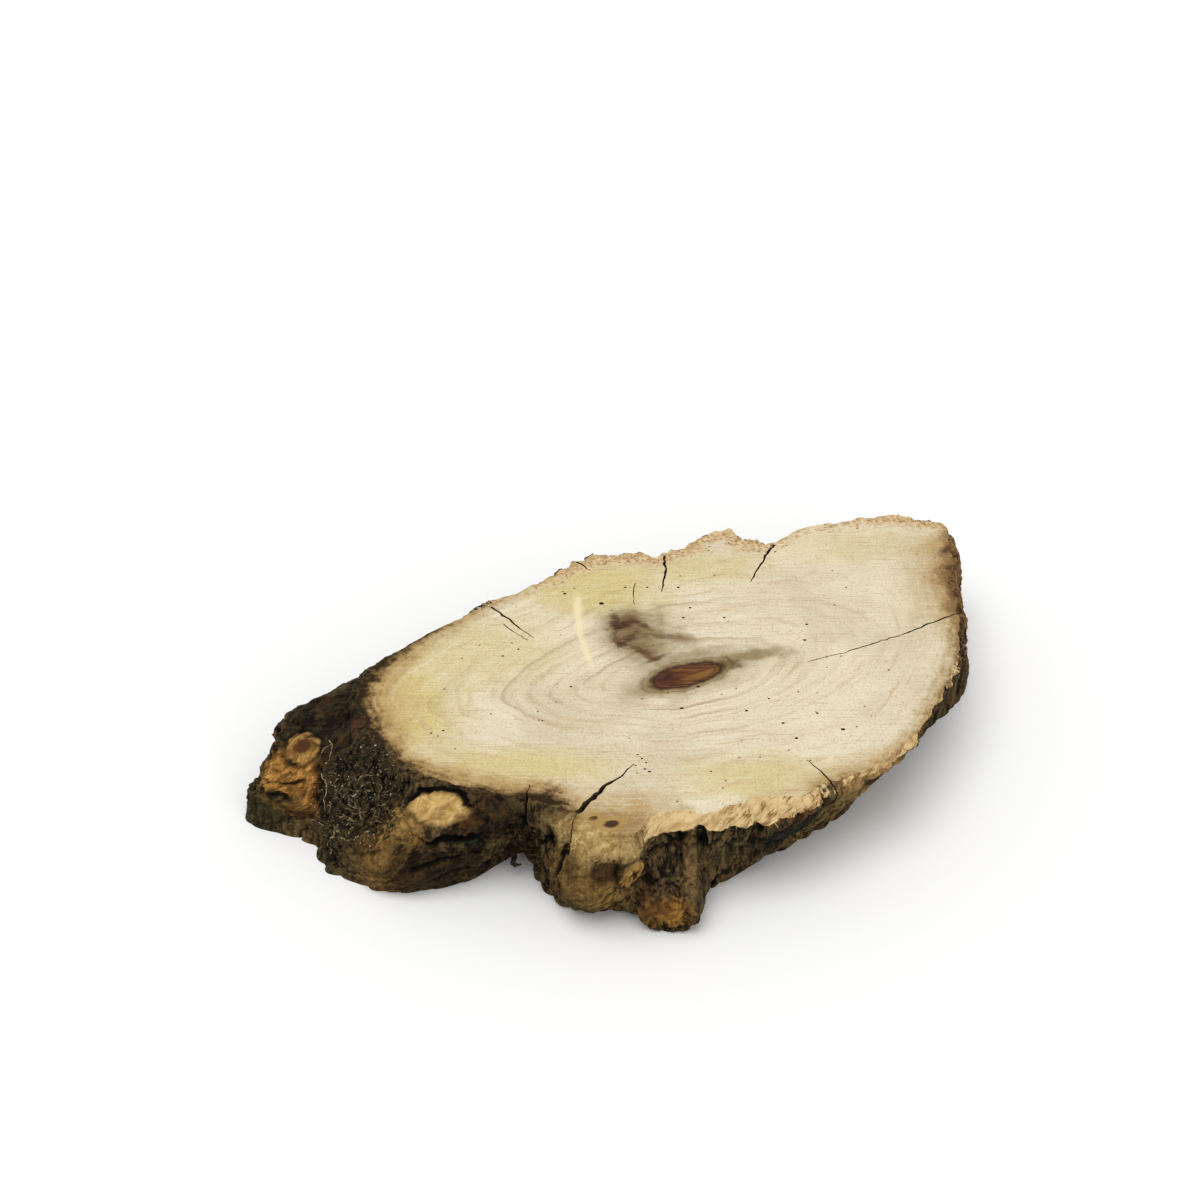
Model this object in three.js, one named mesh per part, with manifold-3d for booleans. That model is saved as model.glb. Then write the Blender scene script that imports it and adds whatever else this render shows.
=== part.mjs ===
// A slice of gnarled wood, sawn straight across a leaning trunk. Two flat sawn faces, and between
// them a bark edge that flares out at the left, is undercut at the right front, and carries burls,
// branch eyes, the stub of a cut branch and drying cracks. It grew as one piece, so it is one solid.
// Millimetres, +Z up, standing on the lower sawn face, with the origin under the middle of its box.

import * as THREE from "three";
import { LoftGeometry } from "three/addons/geometries/LoftGeometry.js";
import { mergeVertices } from "three/addons/utils/BufferGeometryUtils.js";
import Module from "manifold-3d";

// Driving dimensions
const THICKNESS = 30; // from one sawn face to the other
const HEART = { x: 18.4, y: -7.5 }; // the heart of the rings, seen from the middle of the slice
const WOOD = { color: 0xd8c79c, roughness: 0.85, metalness: 0 };

// The bark edge, counterclockwise from the right, measured from the heart. Each row holds
// x, y of the upper sawn edge, the lower edge's shift in x and y from it, how far the bark
// swells between the two, and how wide a shoulder is worn or broken off the upper edge.
const EDGE = [
  [70, 7, -8, 3, 0, 1],
  [73, 28, 3, 1, 1, 1.5],
  [73, 44, 3, 2, 1, 2],
  [75, 60, 2, 3, 1, 2],
  [73, 71, 3, 6, 1, 1.5],
  [62, 75, 1, 7, 1, 1],
  [48, 73, 0, 7, 2, 1],
  [34, 69, -1, 7, 2, 1],
  [25, 62, -1, 7, 0, 1],
  [18, 64, -1, 7, 1, 1.5],
  [10, 68, -1, 6, 2, 2],
  [0, 61, -2, 6, 1, 1.5],
  [-7, 56, -2, 6, 0, 1],
  [-14, 57, -3, 7, 2, 1.5],
  [-26, 55, -4, 7, 2, 1.5],
  [-40, 42, -5, 7, 1, 1],
  [-55, 31, -7, 7, 2, 1],
  [-70, 18, -14, 5, 3, 1],
  [-81, 6, -23, 0, 6, 2],
  [-86, -7, -26, -6, 7, 3],
  [-83, -19, -31, -3, 3, 4],
  [-78, -29, -19, -4, 0, 4],
  [-71, -37, -21, -6, 2, 3],
  [-60, -42, -15, -7, 5, 3],
  [-48, -47, -10, 1, 5, 3],
  [-38, -49, -5, 14, -1, 3],
  [-30, -53, -7, 4, 2, 3],
  [-22, -61, -7, 6, 3, 4],
  [-15, -60, 0, 5, 2, 4],
  [-9, -53, 1, -1, 1, 4.2],
  [1, -52.6, 1, 2.6, 1, 3.2],
  [13, -49.2, -3, 7.2, 1, 5.2],
  [24, -47, -6, 11, 0, 3.5],
  [32, -43, -9, 10, 0, 2],
  [41, -38, -10, 11, 0, 1.5],
  [50, -32, -11, 12, -1, 1.6],
  [59, -18, -12, 11, -1, 1],
];
const BARK = { columns: 296, rows: 14 };
const RIDGES = { height: 1.8, spacing: 2.5, length: 18 }; // furrowed bark, along the grain
const LUMPS = { height: 1.2, size: 8 }; // slow swellings of the trunk
const CHIPS = { depth: 0.3, size: 3.2 }; // ragged upper edge, as a share of the shoulder

// Burls: domes grown out of the bark, each with its middle, its reach along the bark and its height
const BURLS = [
  { at: [-104, -21, 13], reach: [12, 12, 11], height: 3.5 },
  { at: [-113, -22, 4], reach: [9, 10, 8], height: 2.5 },
  { at: [-101, -5, 21], reach: [12, 12, 10], height: 6 },
  { at: [-64.5, -46, 24], reach: [9.5, 11, 7], height: 4 },
  { at: [-75, -49, 9], reach: [15, 15, 9], height: 2.5 },
  { at: [-25, -58, 12], reach: [10, 12, 12], height: 2.5 },
  { at: [-7, -54, 8], reach: [12, 12, 14], height: 6 },
];

// Branch eyes: a raised ring round the hollow where a twig died back
const EYES = [
  { at: [-100, -17, 20], ring: 4, height: 2.2 },
  { at: [-101, -26, 11.5], ring: 4, height: 1.8 },
  { at: [-15.5, -63, 19], ring: 3, height: 2.2 },
];
const EYE_RIM = 1.5; // half thickness of the raised ring

// The stub of a cut branch, low on the front
const STUB = {
  root: [-5, -46, 10.5],
  end: [-6.8, -65.3, 6.6],
  rootRadius: 10.5,
  endRadius: 7.6,
  uneven: 0.07, // as a share of its radius
  sides: 22,
  rows: 6,
};

// Drying cracks, each from its tip out past the bark, with its width at the bark and its depth
const CRACKS = [
  {
    path: [[-15, -35], [-18.5, -40], [-22, -43.5], [-26, -49], [-29, -54], [-35, -70]],
    width: 2.6,
    depth: 22,
  },
  { path: [[31, 6.5], [43, 11.5], [56.5, 18], [69.5, 26], [86, 34]], width: 1.2, depth: 12 },
  { path: [[-6.5, 38], [-5.5, 46], [-5.5, 55], [-5, 74]], width: 1.6, depth: 18 },
  { path: [[18, 42.5], [21.5, 52], [26, 61.5], [30, 82]], width: 1.6, depth: 18 },
  { path: [[-41, 17], [-46, 22.5], [-51, 29], [-62, 48]], width: 1.4, depth: 15 },
  { path: [[28, -33.5], [31.5, -38.5], [35, -44], [41, -57]], width: 1.6, depth: 20 },
];
const CRACK_TIP = 0.3; // width of a crack at its tip
const CLEAR = 2; // how far a crack's cutter stands above the upper face

const wasm = await Module();
wasm.setup();

// A closed geometry as a solid that can be joined and cut
function solidOf(geometry) {
  const bare = new THREE.BufferGeometry();
  bare.setAttribute("position", geometry.getAttribute("position"));
  bare.setIndex(geometry.index);
  const merged = mergeVertices(bare, 1e-4);
  const vertProperties = new Float32Array(merged.getAttribute("position").array);
  const triVerts = new Uint32Array(merged.index.array);
  return new wasm.Manifold(new wasm.Mesh({ numProp: 3, vertProperties, triVerts }));
}

function geometryOf(solid) {
  const { vertProperties, triVerts } = solid.getMesh();
  const geometry = new THREE.BufferGeometry();
  geometry.setAttribute("position", new THREE.BufferAttribute(vertProperties, 3));
  geometry.setIndex(new THREE.BufferAttribute(triVerts, 1));
  geometry.computeVertexNormals();
  return geometry;
}

// A closed smooth curve through columns of the edge table
function edgeCurve(pick) {
  const points = EDGE.map((row) => new THREE.Vector3(...pick(row)));
  return new THREE.CatmullRomCurve3(points, true, "catmullrom", 0.5);
}
const rimCurve = edgeCurve(([x, y]) => [x, y, 0]);
const shiftCurve = edgeCurve(([, , x, y]) => [x, y, 0]);
const swellCurve = edgeCurve(([, , , , belly, shoulder]) => [belly, shoulder, 0]);

// An uneven wave between -1 and 1, without a visible repeat
function ripple(x, y, z) {
  const across = Math.sin(x + 1.7 * Math.sin(0.6 * y + 0.4 * z));
  return across * Math.sin(1.1 * y + 1.3 * Math.sin(0.7 * x - 0.5 * z));
}

// Height of the bark's furrows and swellings at a point
function relief({ x, y, z }) {
  const furrow = ripple(x / RIDGES.spacing, y / RIDGES.spacing, z / RIDGES.length);
  const lump = ripple(x / LUMPS.size, y / LUMPS.size, z / LUMPS.size);
  return RIDGES.height * (Math.sqrt(Math.abs(furrow)) - 0.6) + LUMPS.height * lump;
}

// Height of the burls and branch eyes at a point
function growth(point) {
  let height = 0;
  for (const { at, reach, height: top } of BURLS) {
    const away = Math.hypot(...point.toArray().map((value, i) => (value - at[i]) / reach[i]));
    height += top * Math.max(0, 1 - away * away);
  }
  for (const { at, ring, height: top } of EYES) {
    const away = point.distanceTo(new THREE.Vector3(...at));
    height += top * Math.exp(-(((away - ring) / EYE_RIM) ** 2));
  }
  return height;
}

// A point of the bark: turn runs once round the edge, climb from the lower edge to the shoulder
function barkPoint(turn, climb) {
  const rim = rimCurve.getPoint(turn);
  const shift = shiftCurve.getPoint(turn);
  const { x: belly, y: shoulder } = swellCurve.getPoint(turn);
  const outward = rim.clone().normalize();
  const swell = shoulder * climb + 4 * belly * climb * (1 - climb);
  const point = rim.addScaledVector(shift, 1 - climb).addScaledVector(outward, swell);
  point.z = climb * (THICKNESS - shoulder);
  return point.addScaledVector(outward, relief(point) + growth(point));
}

// A point of the upper edge, ragged where the shoulder is broken
function rimPoint(turn) {
  const rim = rimCurve.getPoint(turn);
  const shoulder = swellCurve.getPoint(turn).y;
  const chip = ripple(rim.x / CHIPS.size, rim.y / CHIPS.size, 0);
  return rim.addScaledVector(rim.clone().normalize(), CHIPS.depth * shoulder * chip).setZ(THICKNESS);
}

// The bark edge from the lower sawn face up to the shoulder, then in over the shoulder to the rim
function trunk() {
  const turns = Array.from({ length: BARK.columns }, (_, i) => i / BARK.columns);
  const sections = [];
  for (let row = 0; row <= BARK.rows; row++) {
    sections.push(turns.map((turn) => barkPoint(turn, row / BARK.rows)));
  }
  sections.push(turns.map(rimPoint));
  return solidOf(new LoftGeometry(sections, { capStart: true, capEnd: true }));
}

function branchStub({ root, end, rootRadius, endRadius, uneven, sides, rows }) {
  const up = new THREE.Vector3(0, 0, 1);
  const along = new THREE.Vector3(...end).sub(new THREE.Vector3(...root));
  const sections = [];
  for (let row = 0; row <= rows; row++) {
    const radius = THREE.MathUtils.lerp(rootRadius, endRadius, row / rows);
    const ring = Array.from({ length: sides }, (_, i) => {
      const point = new THREE.Vector3(radius, 0, 0).applyAxisAngle(up, (i / sides) * 2 * Math.PI);
      point.multiplyScalar(1 + uneven * ripple(point.x / 2, point.y / 2, row / 2));
      return point.setZ((along.length() * row) / rows);
    });
    sections.push(ring);
  }
  const stub = new LoftGeometry(sections, { capStart: true, capEnd: true });
  const turn = new THREE.Quaternion().setFromUnitVectors(up, along.clone().normalize());
  return solidOf(stub.applyQuaternion(turn).translate(...root));
}

// A crack's cutter: a zigzag wedge, narrow at its tip, that stands down into the slice
function crack({ path, width, depth }) {
  const points = path.map(([x, y]) => new THREE.Vector2(x, y));
  const last = points.length - 1;
  const sides = [[], []];
  points.forEach((point, i) => {
    const before = points[Math.max(i - 1, 0)];
    const after = points[Math.min(i + 1, last)];
    const across = after.clone().sub(before).normalize();
    across.set(-across.y, across.x);
    const halfWidth = THREE.MathUtils.lerp(CRACK_TIP, width, i / last) / 2;
    sides[0].push(point.clone().addScaledVector(across, halfWidth));
    sides[1].unshift(point.clone().addScaledVector(across, -halfWidth));
  });
  const outline = new THREE.Shape([...sides[1], ...sides[0]]);
  const cutter = new THREE.ExtrudeGeometry(outline, { depth: depth + CLEAR, bevelEnabled: false });
  return solidOf(cutter.translate(0, 0, THICKNESS - depth));
}

let wood = trunk().add(branchStub(STUB)).trimByPlane([0, 0, 1], 0);
for (const split of CRACKS) wood = wood.subtract(crack(split));

const woodSlice = new THREE.Mesh(geometryOf(wood), new THREE.MeshStandardMaterial(WOOD));
woodSlice.name = "wood_slice";
woodSlice.position.set(HEART.x, HEART.y, 0);

const slice = new THREE.Group();
slice.add(woodSlice);

export default slice;
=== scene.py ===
import math
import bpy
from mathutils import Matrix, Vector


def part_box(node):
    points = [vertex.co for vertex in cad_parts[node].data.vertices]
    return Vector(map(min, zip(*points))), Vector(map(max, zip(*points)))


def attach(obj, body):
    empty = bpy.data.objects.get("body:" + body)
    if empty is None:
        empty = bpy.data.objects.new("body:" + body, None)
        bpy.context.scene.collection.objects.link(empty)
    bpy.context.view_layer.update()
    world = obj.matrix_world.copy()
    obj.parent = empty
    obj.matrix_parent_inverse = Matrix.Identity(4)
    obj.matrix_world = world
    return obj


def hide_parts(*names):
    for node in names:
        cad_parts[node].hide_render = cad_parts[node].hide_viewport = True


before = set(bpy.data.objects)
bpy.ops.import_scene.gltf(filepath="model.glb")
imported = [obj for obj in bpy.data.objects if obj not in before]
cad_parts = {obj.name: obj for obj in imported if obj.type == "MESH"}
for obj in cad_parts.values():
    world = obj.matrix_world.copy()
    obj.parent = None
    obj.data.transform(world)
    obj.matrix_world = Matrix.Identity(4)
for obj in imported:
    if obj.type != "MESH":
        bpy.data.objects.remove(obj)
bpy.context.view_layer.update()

from types import SimpleNamespace

import bpy
import numpy as np
from mathutils import Vector, kdtree

mm = 0.001
sliceLow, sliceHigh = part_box("wood_slice")
thickness = (sliceHigh.z - sliceLow.z) / mm
heart = np.array((18.4, -7.5, 0.0))  # heart of the rings in the part's frame, mm
print("frame loaded, slice", round(thickness, 2), "mm thick")


# helpers for node trees, shared by shaders and Geometry Nodes

def addNode(tree, kind, inputs=None, **settings):
    node = tree.nodes.new(kind)
    for key, value in settings.items():
        setattr(node, key, value)
    for key, value in (inputs or {}).items():
        plug(tree, node.inputs[key], value)
    return node


def plug(tree, socket, value):
    if isinstance(value, bpy.types.NodeSocket):
        tree.links.new(value, socket)
    else:
        socket.default_value = value


def calc(tree, operation, *values):
    return addNode(tree, "ShaderNodeMath", dict(enumerate(values)), operation=operation).outputs[0]


def vectorCalc(tree, operation, *values):
    node = addNode(tree, "ShaderNodeVectorMath", dict(enumerate(values)), operation=operation)
    return node.outputs["Value"] if operation in ("LENGTH", "DOT_PRODUCT") else node.outputs[0]


def scaled(tree, vector, amount):
    return addNode(tree, "ShaderNodeVectorMath", {0: vector, "Scale": amount}, operation="SCALE").outputs[0]


def spread(tree, value, low, high, outLow=0.0, outHigh=1.0):
    inputs = {"Value": value, "From Min": low, "From Max": high, "To Min": outLow, "To Max": outHigh}
    return addNode(tree, "ShaderNodeMapRange", inputs, interpolation_type="SMOOTHSTEP").outputs[0]


def noiseAt(tree, place, scale=1.0, detail=4.0, roughness=0.55, distortion=0.0, output=0):
    inputs = {"Vector": place, "Scale": scale, "Detail": detail, "Roughness": roughness,
              "Distortion": distortion}
    return addNode(tree, "ShaderNodeTexNoise", inputs).outputs[output]


def blend(tree, amount, base, top):  # of two colours
    return addNode(tree, "ShaderNodeMix", {0: amount, 6: base, 7: top}, data_type="RGBA").outputs[2]


def mixed(tree, amount, base, top):  # the same of two values
    return addNode(tree, "ShaderNodeMix", {0: amount, 2: base, 3: top}, data_type="FLOAT").outputs[0]


def share(tree, mask, amount):
    return calc(tree, "MULTIPLY", mask, amount)


def sway(tree, noise, amount):  # noise that goes both ways from 0
    return share(tree, calc(tree, "SUBTRACT", noise, 0.5), amount)


def vectorSway(tree, noise, amount):
    return scaled(tree, vectorCalc(tree, "SUBTRACT", noise, (0.5, 0.5, 0.5)), amount)


def combined(tree, x, y, z):
    return addNode(tree, "ShaderNodeCombineXYZ", {0: x, 1: y, 2: z}).outputs[0]


def axesOf(tree, vector):
    return addNode(tree, "ShaderNodeSeparateXYZ", {0: vector}).outputs


def stretched(tree, place, scale, turn=0.0):
    inputs = {"Vector": place, "Scale": scale, "Rotation": (0, 0, math.radians(turn))}
    return addNode(tree, "ShaderNodeMapping", inputs).outputs[0]


def rotated(tree, vector, angle, axis):
    inputs = {"Vector": vector, "Angle": angle}
    return addNode(tree, "ShaderNodeVectorRotate", inputs, rotation_type=axis + "_AXIS").outputs[0]


def readMark(tree, name):
    return addNode(tree, "ShaderNodeAttribute", attribute_name=name).outputs["Fac"]


def tone(red, green, blue):  # a colour as seen, 0 to 255, in the linear values that shaders take
    part = np.array((red, green, blue)) / 255.0
    linear = np.where(part <= 0.04045, part / 12.92, ((part + 0.055) / 1.055) ** 2.4)
    return (*(float(v) for v in linear), 1.0)


def newMaterial(name, finish):
    material = bpy.data.materials.new(name)
    material.use_nodes = True
    shader = material.node_tree.nodes["Principled BSDF"]
    shader.inputs["Roughness"].default_value = finish["roughness"]
    shader.inputs["Specular IOR Level"].default_value = finish["gloss"]
    return material, material.node_tree, shader


def heartPlace(tree):  # place on the slice in mm from the heart of the rings
    coordinates = addNode(tree, "ShaderNodeTexCoord").outputs["Object"]
    inputs = {"Vector": coordinates, "Scale": (1 / mm,) * 3, "Location": tuple(-heart)}
    return addNode(tree, "ShaderNodeMapping", inputs).outputs[0]


# shape of the slice, in mm from the heart

# x and y of the upper edge, shift of the lower edge, swell of the bark between, worn shoulder,
# how broken the shoulder is, how far the sawn face crumbles, how far the bark's stain creeps in
edgeRows = np.array([
    [70, 7, -8, 3, 0, 1, 0.5, 0, -1], [73, 28, 3, 1, 1, 2.5, 0, 0, 0.6],
    [73, 44, 3, 2, 1, 3.5, 0, 0, 1.2], [75, 60, 2, 3, 1, 3, 0.1, 0.1, 1],
    [73, 71, 3, 6, 1, 1.5, 0.8, 0.7, -2.5], [62, 75, 1, 7, 1, 1, 1, 0.9, -5],
    [48, 73, 0, 7, 2, 1, 1, 0.5, -5], [34, 69, -1, 7, 2, 1, 1, 0.5, -5],
    [25, 62, -1, 7, 0, 1, 1, 0.7, -5], [18, 64, -1, 7, 1, 1.5, 1, 1, -5],
    [10, 68, -1, 6, 2, 2, 1, 1, -5], [0, 61, -2, 6, 1, 1.5, 1, 1, -5],
    [-7, 56, -2, 6, 0, 1, 1, 0.9, -4], [-14, 57, -3, 7, 2, 1.5, 1, 0.9, -4],
    [-26, 55, -4, 7, 2, 1.5, 0.9, 0.9, -4], [-40, 42, -5, 7, 1, 1, 0.7, 0.5, -3],
    [-55, 31, -7, 7, 2, 1, 0.5, 0.2, -2], [-70, 18, -14, 5, 3, 1, 0.2, 0, 0.5],
    [-81, 6, -23, 0, 6, 2, 0, 0, 2.5], [-86, -7, -26, -6, 7, 3, 0, 0, 3],
    [-83, -19, -31, -3, 3, 4, 0, 0, 2.5], [-78, -29, -19, -4, 0, 4, 0, 0, 2],
    [-71, -37, -21, -6, 2, 3, 0, 0, 1.5], [-60, -42, -15, -7, 5, 3, 0, 0, 0],
    [-48, -47, -10, 1, 5, 3, 0, 0, 1.5], [-38, -49, -5, 14, -1, 3, 0, 0, 4],
    [-30, -53, -7, 4, 2, 3, 0, 0, -0.5], [-22, -61, -7, 6, 3, 4, 0, 0, -4],
    [-15, -60, 0, 5, 2, 4, 0.15, 0, -5], [-9, -53, 1, -1, 1, 4.2, 0.9, 0, -5],
    [1, -52.6, 1, 2.6, 1, 3.2, 1, 0, -5], [13, -49.2, -3, 7.2, 1, 5.2, 1, 0, -5],
    [24, -47, -6, 11, 0, 3.5, 0.85, 0.1, -4.5], [32, -43, -9, 10, 0, 2, 0.45, 0.2, -1.5],
    [41, -38, -10, 11, 0, 1.5, 0.55, 0.2, -1.5], [50, -32, -11, 12, -1, 1.6, 0.8, 0.5, -2],
    [59, -18, -12, 11, -1, 1, 0.6, 0.1, -1.5],
], float)
edgeColumns = ("x", "y", "shiftX", "shiftY", "belly", "shoulder", "broken", "crumble", "creep")

sawnSlot, barkSlot, crackSlot = range(3)  # order of the slice's materials
sliceShape = {
    "columns": 1000, "wallRows": 56, "shoulderRows": 6,
    "insets": (0.45, 0.9, 1.4, 2.0, 2.8, 3.8, 5.2, 7.2, 10.0, 14.0),  # rings inside the upper edge
    "inner": (0.66, 0.33), "bottomRings": (0.25, 0.6, 0.9, 0.98), "bottomMiddle": (-20.0, 5.0),
    "ridgeHeight": 1.8, "ridgeSpacing": 2.5, "ridgeLength": 18.0, "lumpHeight": 1.2, "lumpSize": 8.0,
    "ridgeLevel": 0.6, "smoothing": 0.8,  # burls are smoother than the trunk's bark
    "barkLip": 0.7,  # bark stands this proud of the broken shoulder
    "ledgeRise": 0.1, "swell": 0.07, "wornSwell": 0.175,  # worn shoulders are rounder than broken ones
    "shoulderWaves": ((5.0, 2.0, 0.3), (1.6, 0.0, 0.135)),  # size, level, share
    "chipDepth": 0.3, "jagged": 0.9, "chipWaves": ((3.2, 0.0, 1.0), (1.2, 3.0, 0.6)),
    "crumbleDepth": 1.0, "crumbleWidth": 6.5, "crumbWaves": ((1.1, 1.0, 0.35), (3.0, 4.0, 0.4)),
    "crumbLevel": 0.5, "crumbLeast": 0.05,
    "rimGap": 0.02,  # the shoulder stays this far under the sawn face
}
burls = [  # middle, reach, height
    ((-104, -21, 13), (12, 12, 11), 3.5), ((-113, -22, 4), (9, 10, 8), 2.5),
    ((-101, -5, 21), (12, 12, 10), 6.0), ((-64.5, -46, 24), (9.5, 11, 7), 4.0),
    ((-75, -49, 9), (15, 15, 9), 2.5), ((-25, -58, 12), (10, 12, 12), 2.5),
    ((-7, -54, 8), (12, 12, 14), 6.0),
]
branchEyes = [  # middle, radius, height
    ((-100, -17, 20), 4.0, 2.2), ((-101, -26, 11.5), 4.0, 1.8), ((-15.5, -63, 19), 3.0, 2.2),
]
eyeRim = 1.5  # width of their rims
ovalSlope = 1.6  # how steeply an oval's edge falls off
zoneReach = 1.15  # smooth bark reaches this far past its own colours


def around(rows, turn):  # closed smooth curve through the rows
    count = len(rows)
    first = np.floor(turn * count).astype(int)
    w = (turn * count - first).reshape(-1, *([1] * (rows.ndim - 1)))
    a, b, c, d = (rows[(first + step) % count] for step in (-1, 0, 1, 2))
    return b + 0.5 * w * (c - a + w * (2 * a - 5 * b + 4 * c - d + w * (3 * (b - c) + d - a)))


def ripple(x, y, z):  # uneven wave between -1 and 1
    across = np.sin(x + 1.7 * np.sin(0.6 * y + 0.4 * z))
    return across * np.sin(1.1 * y + 1.3 * np.sin(0.7 * x - 0.5 * z))


def within(points, middle, size):  # 1 in the middle of an oval, 0 outside it
    away = np.linalg.norm((points - np.array(middle)) / size, axis=-1)
    return np.clip(ovalSlope * (1 - away), 0, 1)


def calmAt(points):  # how smoothly the bark has grown over a place
    return np.max([smooth * within(points, middle, zoneReach * np.array(size))
                   for middle, size, *_, smooth, _ in barkZones], axis=0)


def barkHeight(p):
    s = sliceShape
    x, y, z = p[..., 0], p[..., 1], p[..., 2]
    furrow = ripple(x / s["ridgeSpacing"], y / s["ridgeSpacing"], z / s["ridgeLength"])
    lump = ripple(x / s["lumpSize"], y / s["lumpSize"], z / s["lumpSize"])
    ridge = s["ridgeHeight"] * (1 - s["smoothing"] * calmAt(p))
    height = ridge * (np.sqrt(np.abs(furrow)) - s["ridgeLevel"]) + s["lumpHeight"] * lump
    for middle, reach, top in burls:
        away = np.linalg.norm((p - middle) / reach, axis=-1)
        height = height + top * np.maximum(0, 1 - away * away)
    for middle, ring, top in branchEyes:
        away = np.linalg.norm(p - np.array(middle), axis=-1)
        height = height + top * np.exp(-(((away - ring) / eyeRim) ** 2))
    return height


def edgeAt(turn):  # named values at places round the edge, 0 to 1
    rows = around(edgeRows, turn)
    values = dict(zip(edgeColumns, np.split(rows, len(edgeColumns), axis=1)))
    for name in ("broken", "crumble"):
        values[name] = np.clip(values[name], 0, 1)
    return values


def ripples(xy, waves):  # waves of several sizes over a plane
    return sum(amount * ripple(xy[:, :1] / size, xy[:, 1:] / size, level) for size, level, amount in waves)


def sliceLevels():
    s = sliceShape
    values = edgeAt(np.arange(s["columns"]) / s["columns"])
    rim, shift = np.c_[values["x"], values["y"]], np.c_[values["shiftX"], values["shiftY"]]
    belly, shoulder, broken, crumble = (values[name] for name in ("belly", "shoulder", "broken", "crumble"))
    outward = rim / np.linalg.norm(rim, axis=1, keepdims=True)

    def sunk(xy, away):  # depth of the crumbled edge under the sawn face
        crumbs = np.clip(s["crumbLevel"] + ripples(xy, s["crumbWaves"]), s["crumbLeast"], 1)
        return crumble * s["crumbleDepth"] * crumbs * max(0.0, 1 - away / s["crumbleWidth"])

    wallTop = thickness - shoulder * (1 + broken * ripples(rim, s["shoulderWaves"])) - sunk(rim, 0.0)
    levels, kinds = [], []
    for row in range(s["wallRows"] + 1):
        climb = row / s["wallRows"]
        out = shoulder * climb + 4 * belly * climb * (1 - climb)
        level = np.c_[rim + shift * (1 - climb) + outward * out, climb * wallTop]
        level[:, :2] += outward * barkHeight(level)[:, None]
        levels.append(level)
        kinds.append("wall")
    chip = ripples(rim, s["chipWaves"]) * (s["chipDepth"] * shoulder + s["jagged"] * crumble)
    edge = np.c_[rim + outward * chip, thickness - sunk(rim, 0.0)]
    ledge = levels[-1].copy()
    ledge[:, :2] -= outward * s["barkLip"] * broken
    ledge[:, 2:] += s["ledgeRise"] * shoulder
    bulge = np.c_[outward, np.ones(len(rim))] * (s["swell"] + s["wornSwell"] * (1 - broken)) * shoulder
    for row in range(s["shoulderRows"]):
        part = row / s["shoulderRows"]
        level = ledge * (1 - part) + edge * part + bulge * math.sin(math.pi * part)
        level[:, 2] = np.minimum(level[:, 2], edge[:, 2] - s["rimGap"])
        levels.append(level)
        kinds.append("shoulder")
    levels.append(edge)
    for away in s["insets"]:
        xy = edge[:, :2] - outward * away
        levels.append(np.c_[xy, thickness - sunk(xy, away)])
    inset = levels[-1][:, :2]
    levels += [np.c_[inset * part, np.full(len(rim), thickness)] for part in s["inner"]]
    kinds += ["top"] * (1 + len(s["insets"]) + len(s["inner"]))
    middle, foot = np.array(s["bottomMiddle"]), levels[0][:, :2]
    under = [np.c_[middle + (foot - middle) * part, np.zeros(len(rim))] for part in s["bottomRings"]]
    return under + levels, ["bottom"] * len(under) + kinds, edge


def closedMesh(name, levels, slots, low, high):  # rings of points from low to high, closed at both ends
    columns = len(levels[0])
    points = np.concatenate([low[None], *levels, high[None]])
    following = np.roll(np.arange(columns), -1)
    rings = [1 + level * columns + np.arange(columns) for level in range(len(levels))]
    faces = np.c_[np.zeros(columns, int), rings[0][following], rings[0]].tolist()
    faceSlots = [slots[0]] * columns
    for level in range(len(levels) - 1):
        here, above = rings[level], rings[level + 1]
        faces += np.c_[here, here[following], above[following], above].tolist()
        faceSlots += [max(slots[level], slots[level + 1])] * columns
    faces += np.c_[np.full(columns, len(points) - 1), rings[-1], rings[-1][following]].tolist()
    faceSlots += [slots[-1]] * columns
    mesh = bpy.data.meshes.new(name)
    mesh.from_pydata(((points + heart) * mm).tolist(), [], faces)
    mesh.polygons.foreach_set("material_index", faceSlots)
    return mesh, points


def place(name, mesh, *materials):
    piece = bpy.data.objects.new(name, mesh)
    bpy.context.scene.collection.objects.link(piece)
    for material in materials:
        mesh.materials.append(material)
    return piece


def settle(piece):  # work the piece's modifiers into its mesh
    graph = bpy.context.evaluated_depsgraph_get()
    mesh = bpy.data.meshes.new_from_object(piece.evaluated_get(graph))
    piece.modifiers.clear()
    before = piece.data
    piece.data = mesh
    bpy.data.meshes.remove(before)


def dressed(piece):
    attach(piece, "root")


stubShape = {
    "root": (-5, -46, 10.5), "end": (-6.8, -65.3, 6.6), "rootRadius": 10.5, "endRadius": 7.6,
    "uneven": 0.07, "unevenSize": 2.0, "sides": 110, "rows": 44, "endRings": 9, "floorGap": 0.04,
    "worn": 1.1, "wornFrom": 0.92,  # rounded rim of the cut end
    "endSunk": 0.3, "endRough": 0.35, "endGrain": 1.3,
}


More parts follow.
